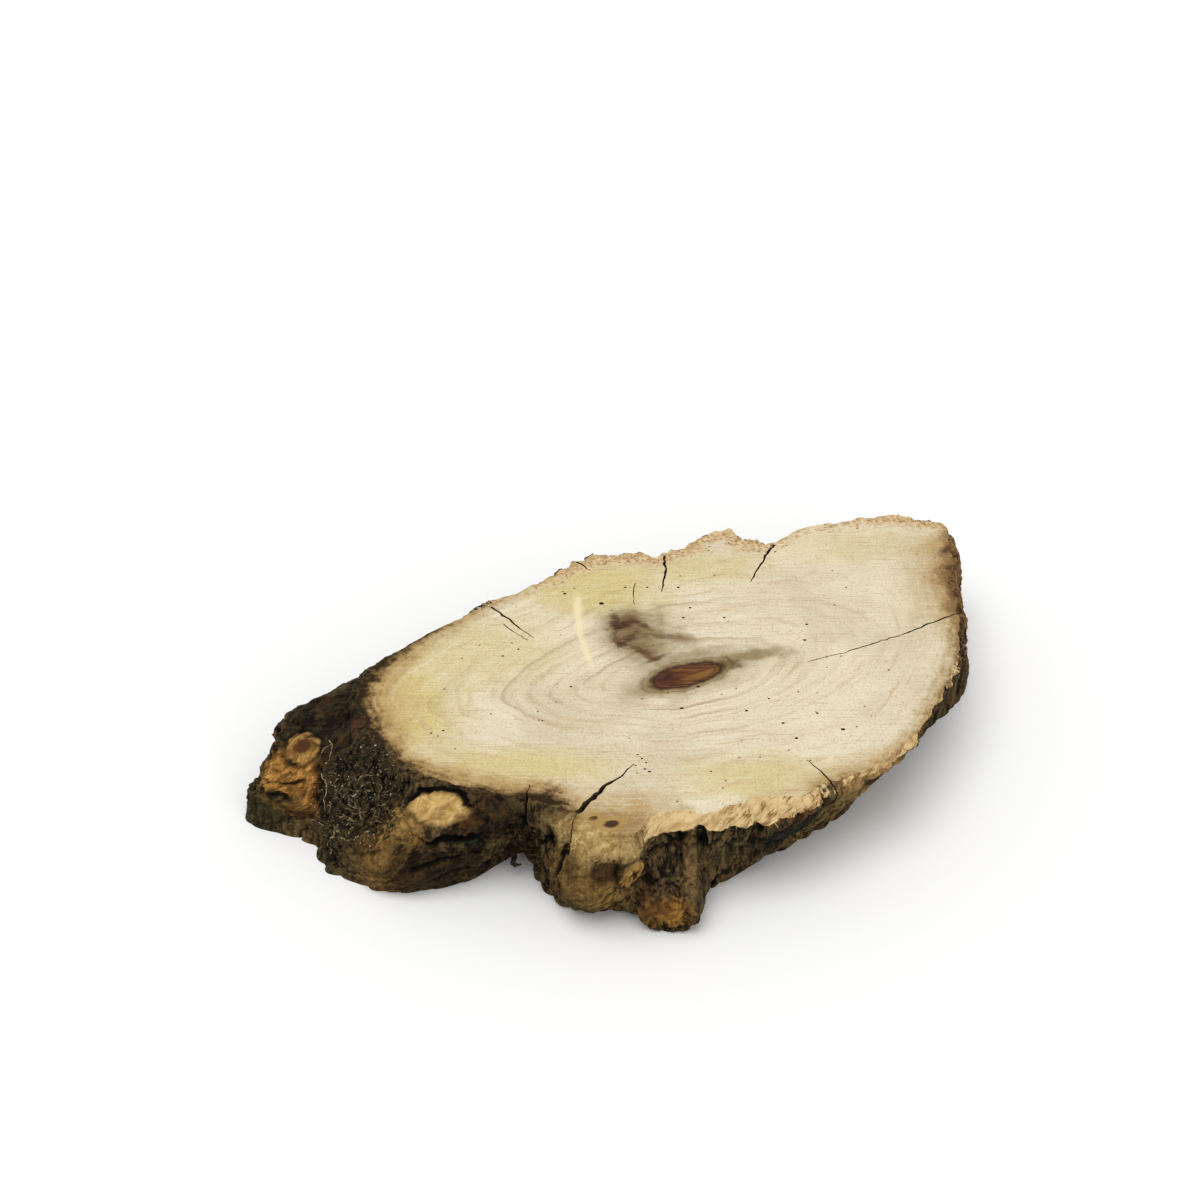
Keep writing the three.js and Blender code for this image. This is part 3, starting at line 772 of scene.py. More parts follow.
creases = [  # path over the bark, width, depth: folds and slits that sink into it, their floors also darkened with painted shade
    ([(-110, -20, 12.2), (-107, -23, 13.2), (-104.7, -24, 14.2), (-101, -25, 15.4),
      (-97.4, -24.7, 16.3)], 0.5, 0.7),
    ([(-110, -22.5, 10.6), (-106, -25.3, 10.9), (-103.1, -26.4, 10.8), (-101.2, -27.2, 10.2)], 0.8, 0.85),
    ([(-111, -23, 10), (-106, -26, 8.6), (-101, -28, 7.4), (-97, -29, 7.2), (-94.5, -27, 11)], 0.6, 0.4),
    ([(-95, -21, 20), (-94.2, -25, 15), (-95, -28.5, 9)], 1.0, 1.0),
    ([(-104, -19, 16), (-102, -20, 16.5), (-99, -20.5, 17)], 0.7, 0.9),
    ([(-105, -14, 18), (-101, -12.5, 22.5), (-96.2, -15.5, 22.5), (-95.6, -20, 19.5)], 0.8, 0.7),
    ([(-72, -44.5, 25), (-68, -43, 27.6), (-64, -42.8, 28.5), (-58.5, -44.3, 28.7), (-55, -46.5, 27.2),
      (-54.8, -48, 24)], 0.8, 1.5),
    ([(-67, -49.5, 18), (-62, -50.6, 19.6), (-56.3, -51.1, 19.4), (-51, -50, 21)], 1.0, 1.4),
    ([(-69, -48.5, 22), (-64.5, -49.3, 24), (-59.5, -49, 25)], 0.4, 0.4),
    ([(-66.5, -47, 24.6), (-62, -47.8, 26.3), (-58.5, -47.6, 26.8)], 0.35, 0.3),
    ([(-86, -45, 9), (-81, -47.5, 11), (-77, -49, 15.5)], 0.6, 0.5),
    ([(-73, -52, 10), (-68, -52.3, 10.8), (-62, -52.2, 13.8), (-56, -51.2, 14)], 0.7, 0.8),
    ([(-66, -53, 4), (-60, -52.5, 7), (-53, -51, 7.5)], 0.6, 0.8),
    ([(-41.2, -46, 30), (-41.6, -47.5, 26), (-42, -47.8, 20)], 0.7, 1.4),
    ([(-30.5, -56.5, 24), (-34, -58, 18), (-37, -57, 11)], 0.8, 1.1),
    ([(-20, -65, 25), (-18.8, -65, 19), (-19.8, -65.5, 13), (-24, -66, 9)], 0.6, 0.6),
    ([(-10.8, -60, 23), (-10.4, -61, 16), (-12, -63, 10)], 0.5, 0.5),
]
branchRings = [  # middle and size of the ring, middle and size of its core
    ((-99.8, -17, 20), (4.6, 4.4, 3.4), (-99.9, -16.6, 20.4), (2.7, 1.9, 2.2)),
    ((-15.6, -64.4, 19.8), (3.4, 4.0, 3.4), (-15.2, -64.6, 19.8), (1.4, 3.0, 1.5)),
]
flowTurn = math.radians(35)  # folds of the burls climb to the right


def barkPlaces(tree):  # places and noises that the bark is drawn with
    here = heartPlace(tree)
    loose = vectorCalc(tree, "ADD", here, vectorSway(tree, noiseAt(tree, here, 0.07, 3.0, output=1), 16.0))
    flow = vectorCalc(tree, "MULTIPLY", rotated(tree, loose, flowTurn, "Y"), (0.09, 0.3, 0.75))
    aslant = vectorCalc(tree, "MULTIPLY", rotated(tree, here, -0.9, "Y"), (1.1, 0.4, 0.09))
    return SimpleNamespace(
        here=here, ridge=readMark(tree, "ridge"), wander=noiseAt(tree, here, 0.16, 4.0, 0.6),
        fibres=grit(tree, here, (0.8, 0.8, 0.07)), swirl=noiseAt(tree, flow, 1.0, 6.0, 0.66, 0.5),
        hair=noiseAt(tree, aslant, 1.0, 5.0, 0.7))


def barkTones(tree, at):  # colour of the bark with painted light on its ridges and painted shade in its hollows, and how smoothly it has grown
    f = barkFinish
    light, dark, worn = f["light"], f["dark"], 0.0
    for centre, size, zoneLight, zoneDark, amount, smooth, softness in barkZones:
        mask = share(tree, spot(tree, at.here, at.wander, centre, size, 0.0, softness, 0.9), amount)
        light, dark = blend(tree, mask, light, zoneLight), blend(tree, mask, dark, zoneDark)
        worn = mixed(tree, mask, worn, smooth)
    detail = mixed(tree, worn, at.fibres["Fibre"], at.swirl)
    detail = calc(tree, "ADD", share(tree, detail, 0.75), share(tree, at.fibres["Crumb"], 0.35))
    # painted light and shade: the bark is drawn lighter on the relief's ridges and darker in its hollows
    detail = calc(tree, "ADD", detail, share(tree, at.ridge, 0.16))
    colour = blend(tree, spread(tree, detail, 0.42, 0.72), dark, light)
    tint = noiseAt(tree, at.here, 0.13, 4.0, 0.6)
    colour = blend(tree, spread(tree, tint, 0.56, 0.7, 0.0, 0.4), colour, f["rust"])
    return blend(tree, spread(tree, tint, 0.42, 0.3, 0.0, 0.35), colour, f["lichen"]), worn


def drawEyes(tree, at, colour):  # raised rings of two branch eyes, each with a sunken core
    f = barkFinish
    rim = blend(tree, spread(tree, at.swirl, 0.42, 0.6), f["eyeDark"], f["eye"])
    for centre, size, core, coreSize in branchRings:
        away = spot(tree, at.here, at.wander, centre, size, 0, 0.1, 0.6, "Away")
        colour = blend(tree, spread(tree, away, 1.2, 0.95, 0.0, 0.9), colour, rim)
        outline = calc(tree, "MULTIPLY", spread(tree, away, 1.05, 1.2), spread(tree, away, 1.5, 1.25))
        colour = blend(tree, share(tree, outline, 0.6), colour, f["dark"])
        sunken = spot(tree, at.here, at.fibres["Crumb"], core, coreSize, 0, 0.35, 0.9)
        colour = blend(tree, sunken, colour, f["eyeCore"])
    return colour


def bareWood(tree, at):  # wood laid bare on the broken shoulder, its fibres torn aslant, with painted shade in its hollows and between its fibres
    f = barkFinish
    # darker streaks along the torn fibres: partly the wood's own tone, partly painted shade between the
    # fibres
    bare = blend(tree, spread(tree, at.hair, 0.58, 0.36, 0.0, 0.9), f["bare"], f["bareDarkAndShade"])
    bare = blend(tree, spread(tree, at.fibres["Crumb"], 0.46, 0.3, 0.0, 0.3), bare, f["bareSpeckAndShade"])
    # painted shade in the hollows of the relief
    bare = blend(tree, spread(tree, at.ridge, -0.1, -0.6, 0.0, 0.7), bare, f["bareSpeckAndShade"])
    bare = blend(tree, spread(tree, at.wander, 0.5, 0.66, 0.0, 0.5), bare, f["bareDarkAndShade"])
    toRight = spread(tree, axesOf(tree, at.here)[0], 3.0, 12.0)  # painted shade in the gaps between the fibres grows darker this way
    gapShade = calc(tree, "MULTIPLY", spread(tree, at.hair, 0.5, 0.38, 0.0, 0.9), toRight)
    return blend(tree, gapShade, bare, f["bareSpeckAndShade"])


def barkMaterial():
    f = barkFinish
    material, tree, shader = newMaterial("barkWood", f)
    at = barkPlaces(tree)
    colour, worn = barkTones(tree, at)
    colour = drawEyes(tree, at, colour)
    # painted shade: the floors of the creases are drawn near black
    colour = blend(tree, spread(tree, readMark(tree, "crease"), 0.2, 1.1, 0.0, 0.92), colour, f["deep"])
    # painted shade: the hollows of the relief are drawn near black
    colour = blend(tree, spread(tree, at.ridge, -0.35, -1.2, 0.0, 0.85), colour, f["deep"])
    torn = calc(tree, "ADD", readMark(tree, "broken"), sway(tree, at.fibres["Fibre"], 1.1))
    torn = spread(tree, torn, 0.42, 0.58)
    colour = blend(tree, torn, colour, bareWood(tree, at))
    tree.links.new(colour, shader.inputs["Base Color"])
    height = mixed(tree, share(tree, worn, 0.8), at.fibres["Height"], at.swirl)
    height = mixed(tree, torn, height, at.hair)
    strength = spread(tree, worn, 0.5, 1.0, f["bump"], f["smoothBump"])
    bumped(tree, shader, height, strength, f["bumpHeight"])
    return material


crackFinish = {
    "roughness": 0.9, "gloss": 0.3,
    "pale": tone(112, 86, 54), "brown": tone(52, 38, 24), "deep": tone(20, 15, 9),
    "shadeFrom": 0.3, "shadeTo": 4.0,  # painted shade in the cracks deepens between these, mm under the sawn face
}


def crackMaterial():
    f = crackFinish
    material, tree, shader = newMaterial("crackWood", f)
    here = heartPlace(tree)
    fibres = grit(tree, here, (1.2, 1.2, 0.12))
    colour = blend(tree, spread(tree, fibres["Fibre"], 0.3, 0.7), f["brown"], f["pale"])
    # painted shade: the crack walls grow darker the deeper they lie
    deep = spread(tree, axesOf(tree, here)["Z"], thickness - f["shadeFrom"], thickness - f["shadeTo"])
    tree.links.new(blend(tree, deep, colour, f["deep"]), shader.inputs["Base Color"])
    return material


bitFinish = {"roughness": 0.8, "gloss": 0.12, "grain": (0.6, 0.6, 0.6)}


def bitMaterial(name, light, dark):  # loose bits: two tones by their place
    material, tree, shader = newMaterial(name, bitFinish)
    fibres = grit(tree, heartPlace(tree), bitFinish["grain"])
    colour = blend(tree, spread(tree, fibres["Fibre"], 0.38, 0.62), dark, light)
    tree.links.new(colour, shader.inputs["Base Color"])
    return material


# Geometry Nodes

def newTree(name, values):
    tree = bpy.data.node_groups.new(name, "GeometryNodeTree")
    tree.interface.new_socket("Geometry", in_out="INPUT", socket_type="NodeSocketGeometry")
    names = {}
    for key, value in values.items():
        kind = "NodeSocketInt" if isinstance(value, int) else "NodeSocketFloat"
        names[key] = tree.interface.new_socket(key, in_out="INPUT", socket_type=kind).identifier
    tree.interface.new_socket("Geometry", in_out="OUTPUT", socket_type="NodeSocketGeometry")
    return tree, names, addNode(tree, "NodeGroupInput").outputs


def runTree(piece, tree, names, values):
    step = piece.modifiers.new(tree.name, "NODES")
    step.node_group = tree
    for key, value in values.items():
        step[names[key]] = value
    settle(piece)


def meshMark(tree, name):
    return addNode(tree, "GeometryNodeInputNamedAttribute", {"Name": name}, data_type="FLOAT").outputs[0]


def placeInMm(tree):
    return scaled(tree, addNode(tree, "GeometryNodeInputPosition").outputs[0], 1 / mm)


def moved(tree, geometry, offset):
    return addNode(tree, "GeometryNodeSetPosition", {"Geometry": geometry, "Offset": offset}).outputs[0]


def tubeAlong(tree, line, sides, radius, scale=1.0):
    inputs = {"Resolution": sides, "Radius": radius}
    ring = addNode(tree, "GeometryNodeCurvePrimitiveCircle", inputs).outputs[0]
    inputs = {"Curve": line, "Profile Curve": ring, "Scale": scale, "Fill Caps": True}
    return addNode(tree, "GeometryNodeCurveToMesh", inputs).outputs[0]


def endTree(tree, geometry, material, chosen=True, shake=None):
    solid = addNode(tree, "GeometryNodeRealizeInstances", {"Geometry": geometry}).outputs[0]
    if shake is not None:
        solid = moved(tree, solid, shake)
    inputs = {"Geometry": solid, "Selection": chosen, "Material": material}
    painted = addNode(tree, "GeometryNodeSetMaterial", inputs).outputs[0]
    addNode(tree, "NodeGroupOutput", {"Geometry": painted})


reliefShape = {
    "lump": 0.9, "lumpSize": 6.0, "fold": 1.1, "foldSize": 2.6, "crumb": 0.4, "crumbSize": 1.0,
    "seam": 1.1, "seamSize": 5.0,
}


def barkReliefTree(material):
    tree, names, given = newTree("barkRelief", reliefShape)
    inMm = placeInMm(tree)
    calm = meshMark(tree, "calm")
    raw = calc(tree, "SUBTRACT", 1.0, calm)

    def wave(where, size, amount, distortion):
        where = scaled(tree, where, calc(tree, "DIVIDE", 1.0, size))
        noise = noiseAt(tree, where, 1.0, 3.0, 0.6, distortion)
        return sway(tree, noise, calc(tree, "MULTIPLY", amount, 2.4))

    stretch = spread(tree, meshMark(tree, "fibre"), 0.0, 1.0, 0.8, 0.14)
    drawn = vectorCalc(tree, "MULTIPLY", inMm, combined(tree, 1.0, 1.0, stretch))
    flow = vectorCalc(tree, "MULTIPLY", rotated(tree, inMm, flowTurn, "Y"), (0.11, 0.36, 0.7))
    drawn = addNode(tree, "ShaderNodeMix", {0: calm, 4: drawn, 5: flow}, data_type="VECTOR").outputs[1]
    height = wave(inMm, given["lumpSize"], given["lump"], 0.5)
    height = calc(tree, "ADD", height, wave(drawn, given["foldSize"], given["fold"], 0.6))
    crumb = calc(tree, "MULTIPLY", wave(drawn, given["crumbSize"], given["crumb"], 0.0), raw)
    height = calc(tree, "ADD", height, crumb)
    shifted = vectorCalc(tree, "ADD", drawn, scaled(tree, noiseAt(tree, inMm, 0.25, 3.0, output=1), 5.0))
    inputs = {"Vector": scaled(tree, shifted, calc(tree, "DIVIDE", 1.0, given["seamSize"])), "Scale": 1.0}
    cells = addNode(tree, "ShaderNodeTexVoronoi", inputs, feature="DISTANCE_TO_EDGE").outputs[0]
    seam = calc(tree, "MULTIPLY", spread(tree, cells, 0.0, 0.14, -1.0, 0.0), raw)
    seam = calc(tree, "MULTIPLY", seam, spread(tree, noiseAt(tree, inMm, 0.11, 2.0), 0.42, 0.58))
    height = calc(tree, "ADD", height, calc(tree, "MULTIPLY", seam, given["seam"]))
    height = calc(tree, "MULTIPLY", height, meshMark(tree, "rough"))
    height = calc(tree, "SUBTRACT", height, meshMark(tree, "crease"))
    inputs = {"Geometry": given["Geometry"], "Name": "ridge", "Value": height}
    kept = addNode(tree, "GeometryNodeStoreNamedAttribute", inputs, data_type="FLOAT", domain="POINT")
    normal = addNode(tree, "GeometryNodeInputNormal").outputs[0]
    outward = vectorCalc(tree, "MULTIPLY", normal, (1.0, 1.0, 0.45))
    lifted = moved(tree, kept.outputs[0], scaled(tree, outward, calc(tree, "MULTIPLY", height, mm)))
    inputs = {2: addNode(tree, "GeometryNodeInputMaterialIndex").outputs[0], 3: barkSlot}
    isBark = addNode(tree, "FunctionNodeCompare", inputs, data_type="INT", operation="EQUAL").outputs[0]
    endTree(tree, lifted, material, isBark)
    return tree, names


def crumbShape(tree, given):
    return addNode(tree, "GeometryNodeMeshIcoSphere", {"Radius": mm, "Subdivisions": 1}).outputs[0]


def fibreShape(tree, given):
    inputs = {"Resolution": 6, "Start": (0, 0, -0.2 * mm), "Middle": (0.2 * mm, 0, 1.2 * mm),
              "End": (1.1 * mm, 0, 1.3 * mm)}
    curve = addNode(tree, "GeometryNodeCurveQuadraticBezier", inputs).outputs[0]
    return tubeAlong(tree, curve, 4, given["thin"])


def splinterShape(tree, given):
    inputs = {"Vertices": 4, "Side Segments": 3, "Radius Top": 0.02 * mm, "Radius Bottom": given["thin"],
              "Depth": 1.4 * mm}
    return addNode(tree, "GeometryNodeMeshCone", inputs).outputs[0]


bitShape = {
    "fullTurn": 6.283, "offWall": 0.28,
    "smallMore": 2.5,  # small bits far outnumber large ones
    "limits": ((0.7, 1.3, 8), (0.6, 1.2, 9), (0.6, 1.3, 10)),  # least and most of a side, seed
    "floorGap": 0.02 * mm,
}


def dice(tree, low, high, seed):
    inputs = {2: low, 3: high, "Seed": seed}
    return addNode(tree, "FunctionNodeRandomValue", inputs, data_type="FLOAT").outputs[1]


def headingOf(tree, normal, aim, stray):
    heading = normal
    if aim == "slope":  # down the wall, slightly off it
        level = vectorCalc(tree, "CROSS_PRODUCT", (0.0, 0.0, 1.0), normal)
        down = vectorCalc(tree, "CROSS_PRODUCT", level, normal)
        heading = vectorCalc(tree, "ADD", down, scaled(tree, normal, bitShape["offWall"]))
    inputs = {0: (-1, -1, -1), 1: (1, 1, 1), "Seed": 3}
    loose = addNode(tree, "FunctionNodeRandomValue", inputs, data_type="FLOAT_VECTOR").outputs[0]
    return vectorCalc(tree, "ADD", heading, scaled(tree, loose, stray))


def scatterTree(name, values, shape, where, material, aim):
    tree, names, given = newTree(name, values)
    density = calc(tree, "MULTIPLY", meshMark(tree, where), given["density"])
    inputs = {"Mesh": given["Geometry"], "Seed": given["seed"], "Density": density}
    points = addNode(tree, "GeometryNodeDistributePointsOnFaces", inputs).outputs
    heading = headingOf(tree, points["Normal"], aim, given["stray"])
    facing = addNode(tree, "FunctionNodeAlignRotationToVector", {"Vector": heading}, axis="Z").outputs[0]
    inputs = {0: facing, 1: combined(tree, 0.0, 0.0, dice(tree, 0.0, bitShape["fullTurn"], 5))}
    facing = addNode(tree, "FunctionNodeRotateRotation", inputs, rotation_space="LOCAL").outputs[0]
    small = calc(tree, "POWER", dice(tree, 0.0, 1.0, 7), bitShape["smallMore"])
    growth = calc(tree, "MULTIPLY", small, calc(tree, "SUBTRACT", given["most"], given["least"]))
    size = calc(tree, "ADD", given["least"], growth)
    sides = (calc(tree, "MULTIPLY", size, dice(tree, *limit)) for limit in bitShape["limits"])
    inputs = {"Points": points[0], "Instance": shape(tree, given), "Rotation": facing,
              "Scale": combined(tree, *sides)}
    copies = addNode(tree, "GeometryNodeInstanceOnPoints", inputs).outputs[0]
    noise = noiseAt(tree, placeInMm(tree), 1.1, 2.0, output=1)
    shake = vectorSway(tree, noise, calc(tree, "MULTIPLY", given["uneven"], mm))
    endTree(tree, copies, material, shake=shake)
    return tree, names


def scatter(name, values, shape, where, material, aim="normal"):
    piece = place(name, woodSlice.data.copy())
    runTree(piece, *scatterTree(name, values, shape, where, material, aim), values)
    for mark in list(piece.data.attributes):
        if mark.name in markNames:
            piece.data.attributes.remove(piece.data.attributes[mark.name])
    points = np.empty(len(piece.data.vertices) * 3)
    piece.data.vertices.foreach_get("co", points)
    points[2::3] = np.clip(points[2::3], bitShape["floorGap"], sliceHigh.z)
    piece.data.vertices.foreach_set("co", points)
    dressed(piece)
    print(name, len(piece.data.polygons), "faces")


rootShape = {"step": 0.35 * mm, "sides": 6, "wobble": 0.5, "wobbleSize": 1.3}
rootTaper = 0.55
notchCurls = [  # path, radius: twisted rootlets under the notch
    ([(-45.6, -41, 12.4), (-45.4, -43.6, 9.5), (-44.6, -43.9, 7.2), (-45.4, -44.2, 5.4),
      (-44.6, -44, 3.6)], 0.75),
    ([(-45, -40.5, 11), (-44.5, -43.2, 8.4), (-45.3, -44.2, 6.6), (-44.3, -44.6, 5.2),
      (-43.2, -44.2, 4.8)], 0.5),
    ([(-45, -41.5, 12.6), (-44, -43.8, 11.6), (-43.2, -44, 10.4), (-42.4, -43.6, 9.9),
      (-41.4, -41, 11)], 0.3),
    ([(-46.2, -42.5, 13.4), (-45.2, -44.6, 12.6), (-44.2, -42.5, 13.4)], 0.28),
    ([(-41, -40, 12.2), (-40.2, -43, 12.6), (-39.6, -43.4, 11.2), (-40.4, -42.8, 9.6),
      (-40, -42.4, 8)], 0.42),
    ([(-46.8, -43, 13), (-47.2, -45.2, 11.2), (-46.2, -44.8, 9.8)], 0.32),
]
paleRoots = [  # path, radius: pale rootlets in the moss
    ([(-92.8, -17.5, 23), (-91.6, -19.6, 23.6), (-91.8, -21.6, 22.7), (-92.3, -23.8, 20.8)], 0.11),
    ([(-91.6, -19.6, 23.6), (-93.2, -20.4, 23.4), (-94.4, -21, 21.8)], 0.09),
    ([(-93.3, -25.6, 16.6), (-93, -27.6, 15.2), (-93.7, -29, 12.8), (-93.3, -29.8, 10)], 0.12),
    ([(-94.6, -24, 17.6), (-94, -25.8, 17.6), (-93.2, -26, 15.8)], 0.12),
    ([(-80.5, -40.5, 15), (-79.2, -41.6, 15.4), (-77.6, -42.2, 14.6), (-76.8, -42, 13)], 0.11),
    ([(-97, -29, 6.5), (-95, -30.6, 6.6), (-93, -31.4, 6)], 0.12),
    ([(-86.5, -36, 17.5), (-85, -37.6, 18), (-83, -37.8, 17.4), (-82.4, -38.4, 15.5)], 0.10),
]


def rootTree(name, material):  # every path becomes a thin crooked tube
    tree, names, given = newTree(name, rootShape)
    line = addNode(tree, "GeometryNodeMeshToCurve", {"Mesh": given["Geometry"]}).outputs[0]
    smooth = addNode(tree, "GeometryNodeCurveSplineType", {"Curve": line}, spline_type="CATMULL_ROM")
    inputs = {"Curve": smooth.outputs[0], "Length": given["step"]}
    line = addNode(tree, "GeometryNodeResampleCurve", inputs, mode="LENGTH").outputs[0]
    where = scaled(tree, placeInMm(tree), calc(tree, "DIVIDE", 1.0, given["wobbleSize"]))
    wobble = calc(tree, "MULTIPLY", given["wobble"], 2 * mm)
    line = moved(tree, line, vectorSway(tree, noiseAt(tree, where, 1.0, 2.0, output=1), wobble))
    endTree(tree, tubeAlong(tree, line, given["sides"], mm, meshMark(tree, "thick")), material)
    return tree, names


def rootlets(name, paths, material):
    points, edges, thick = [], [], []
    for path, radius in paths:
        first = len(points)
        points += path
        edges += [(first + step, first + step + 1) for step in range(len(path) - 1)]
        thick += np.linspace(radius, rootTaper * radius, len(path)).tolist()
    mesh = bpy.data.meshes.new(name)
    mesh.from_pydata(((np.array(points, float) + heart) * mm).tolist(), edges, [])
    mesh.attributes.new("thick", "FLOAT", "POINT").data.foreach_set("value", thick)
    piece = place(name, mesh)
    runTree(piece, *rootTree(name, material), rootShape)
    dressed(piece)
    print(name, len(piece.data.polygons), "faces")


# the slice: sawn trunk, branch stub joined on, cracks and borer holes cut in
levels, kinds, upperEdge = sliceLevels()
finishes = (sawnMaterial(), barkMaterial(), crackMaterial())
print("finishes made")
slotOf = {"bottom": sawnSlot, "wall": barkSlot, "shoulder": barkSlot, "top": sawnSlot}
lowPoint, highPoint = np.array((*sliceShape["bottomMiddle"], 0.0)), np.array((0.0, 0.0, thickness))
trunk, basePoints = closedMesh("woodSlice", levels, [slotOf[kind] for kind in kinds], lowPoint, highPoint)
woodSlice = place("woodSlice", trunk, *finishes)
joined(woodSlice, place("stubTool", stubMesh(), *finishes), "UNION")
joined(woodSlice, place("crackTool", crackMesh(), *finishes), "DIFFERENCE")
print("slice joined and cracked,", len(woodSlice.data.polygons), "faces")


def nearest(points, targets):
    tree = kdtree.KDTree(len(targets))
    for index, target in enumerate(targets):
        tree.insert(target, index)
    tree.balance()
    found = [tree.find(point) for point in points]
    return np.array([hit[1] for hit in found]), np.array([hit[2] for hit in found])


markNames = ("rough", "crease", "calm", "fibre", "broken", "crumble", "edge", "stain", "moss", "splinter",
             "chips", "notch", "ridge")
creaseShape = {
    "step": 0.35, "margin": 4.0, "stray": 0.5, "strayLengths": ((1.1, 1.9), (1.4, 1.0), (1.0, 1.7)),
    "endShare": 5, "endDepth": 0.2, "flatShare": 1.3,  # shallow at both ends, flat along the middle
}


def creaseDepth(points):  # mm that each point sinks into a fold
    s = creaseShape
    depth = np.zeros(len(points))
    for path, wide, deep in creases:
        path = np.array(path, float)
        run = runOf(path)
        at = np.arange(0, run[-1], s["step"])
        stray = [ripple(at / a, at / b, axis + 1) for axis, (a, b) in enumerate(s["strayLengths"])]
        line = pathAt(path, run, at) + s["stray"] * np.transpose(stray)
        low, high = line.min(0) - s["margin"], line.max(0) + s["margin"]
        near = np.where(np.all((points > low) & (points < high), axis=1))[0]
        onBark = points[near][nearest(line.tolist(), points[near].tolist())[0]]
        step, away = nearest(points[near].tolist(), onBark.tolist())
        fromEnd = np.minimum(step + 1, len(at) - step) / len(at)
        taper = np.clip(s["endShare"] * fromEnd, s["endDepth"], 1)
        sunk = deep * taper * np.clip(s["flatShare"] - away / wide, 0, 1)
        depth[near] = np.maximum(depth[near], sunk)
    return depth


markShape = {
    "ownGap": 0.9,  # points further from the trunk's own are the stub or the inside of a crack
    "floorBand": 0.06, "rimBand": 0.3, "chipBand": 4.0, "chipsFrom": 0.4, "crumbleReach": 1.15,
    "stubRough": 0.7, "shoulderRough": 0.55, "brokenRough": 0.25, "footRough": 0.15, "footRise": 9,
    "calmShare": 0.55, "leftFibre": 0.25, "backFibre": 0.55,
    "mossRough": ((-84, -33, 18), (16, 13, 14)), "mossShare": 0.5,
    "smooth": (((-99.8, -17, 20), (8, 8, 6)), ((-64, -47, 25), (11, 7, 6))),  # branch eye and pale knot
    "smoothShare": 0.88, "front": -20, "fibresFrom": -12, "splintersFrom": 6,
    "moss": ((-83, -34, 17.5), (18, 13, 17.5)), "notch": ((-41, -44, 12), (7, 8, 11)),
}


def edgeGap(points, kind):  # mm from the edge of the sawn face that a point lies on
    gap = np.zeros(len(points))
    for which, border in (("top", upperEdge), ("bottom", levels[kinds.index("wall")])):
        chosen = np.where(kind == which)[0]
        ring = np.c_[border[:, :2], np.zeros(len(border))]
        gap[chosen] = nearest(np.c_[points[chosen, :2], np.zeros(len(chosen))].tolist(), ring.tolist())[1]
    return gap


def roughness(points, kind, level, broken, ours):
    m = markShape
    wallFoot, wallTop = kinds.index("wall"), kinds.index("shoulder") - 1
    climb = np.clip((level - wallFoot) / (wallTop - wallFoot), 0, 1)
    onShoulder = m["shoulderRough"] + (m["brokenRough"] - m["shoulderRough"]) * broken
    rough = np.where(kind == "shoulder", onShoulder, 0.0)
    rough = np.where(kind == "wall", np.clip(climb * m["footRise"], m["footRough"], 1), rough)
    rough = np.where(ours, rough, m["stubRough"])
    rough = rough * (1 - m["calmShare"] * calmAt(points))
    rough = rough * (1 + m["mossShare"] * within(points, *m["mossRough"]))
    for middle, reach in m["smooth"]:
        rough = rough * (1 - m["smoothShare"] * within(points, middle, reach))
    return rough


def markSlice(mesh):
    s, m = sliceShape, markShape
    points = np.empty(len(mesh.vertices) * 3)
    mesh.vertices.foreach_get("co", points)
    points = points.reshape(-1, 3) / mm - heart
    index, gap = nearest(points.tolist(), basePoints.tolist())
    index = np.clip(index - 1, 0, s["columns"] * len(levels) - 1)
    column, level = index % s["columns"], index // s["columns"]
    kind = np.array(kinds)[level]
    atEdge = edgeAt(column / s["columns"])
    broken, crumble, creep = (atEdge[name][:, 0] for name in ("broken", "crumble", "creep"))
    ours = gap < m["ownGap"]
    inCrack = np.zeros(len(points), bool)
    for face in mesh.polygons:
        if face.material_index == crackSlot:
            inCrack[list(face.vertices)] = True
    top, flat = kind == "top", (kind == "top") | (kind == "bottom")
    shoulder = (kind == "shoulder") & ours
    front = points[:, 1] < m["front"]
    edge = edgeGap(points, kind)
    moving = ~(inCrack | flat | (points[:, 2] < m["floorBand"]))
    chips = crumble * (edge < m["chipBand"]) * (crumble > m["chipsFrom"])
    leftOrBack = np.where(points[:, 1] > 0, m["backFibre"], m["leftFibre"])
    reach = np.clip(m["crumbleReach"] - edge / s["crumbleWidth"], 0, 1)
    values = {
        "rough": np.where(moving, roughness(points, kind, level, broken, ours), 0.0),
        "crease": np.where(moving, creaseDepth(points), 0.0),
        "calm": calmAt(points),
        "fibre": np.where(points[:, 0] > m["fibresFrom"], 1.0, leftOrBack),
        "broken": np.where(shoulder | (top & (edge < m["rimBand"])), broken, 0.0),
        "crumble": np.where(top, crumble * reach, 0.0),
        "edge": edge,
        "stain": edge - creep,
        "moss": np.where(~flat, within(points, *m["moss"]), 0.0),
        "splinter": np.where(shoulder & front & (points[:, 0] > m["splintersFrom"]), broken, 0.0),
        "chips": np.where(top & ~front, chips, 0.0),
        "notch": np.where(~flat, within(points, *m["notch"]), 0.0),
    }
    for name, value in values.items():
        mesh.attributes.new(name, "FLOAT", "POINT").data.foreach_set("value", np.asarray(value, np.float32))


sharpFrom = math.radians(48)
markSlice(woodSlice.data)
runTree(woodSlice, *barkReliefTree(finishes[barkSlot]), reliefShape)
woodSlice.data.polygons.foreach_set("use_smooth", [True] * len(woodSlice.data.polygons))
woodSlice.data.set_sharp_from_angle(angle=sharpFrom)
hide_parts("wood_slice")
dressed(woodSlice)
print("bark relief done")

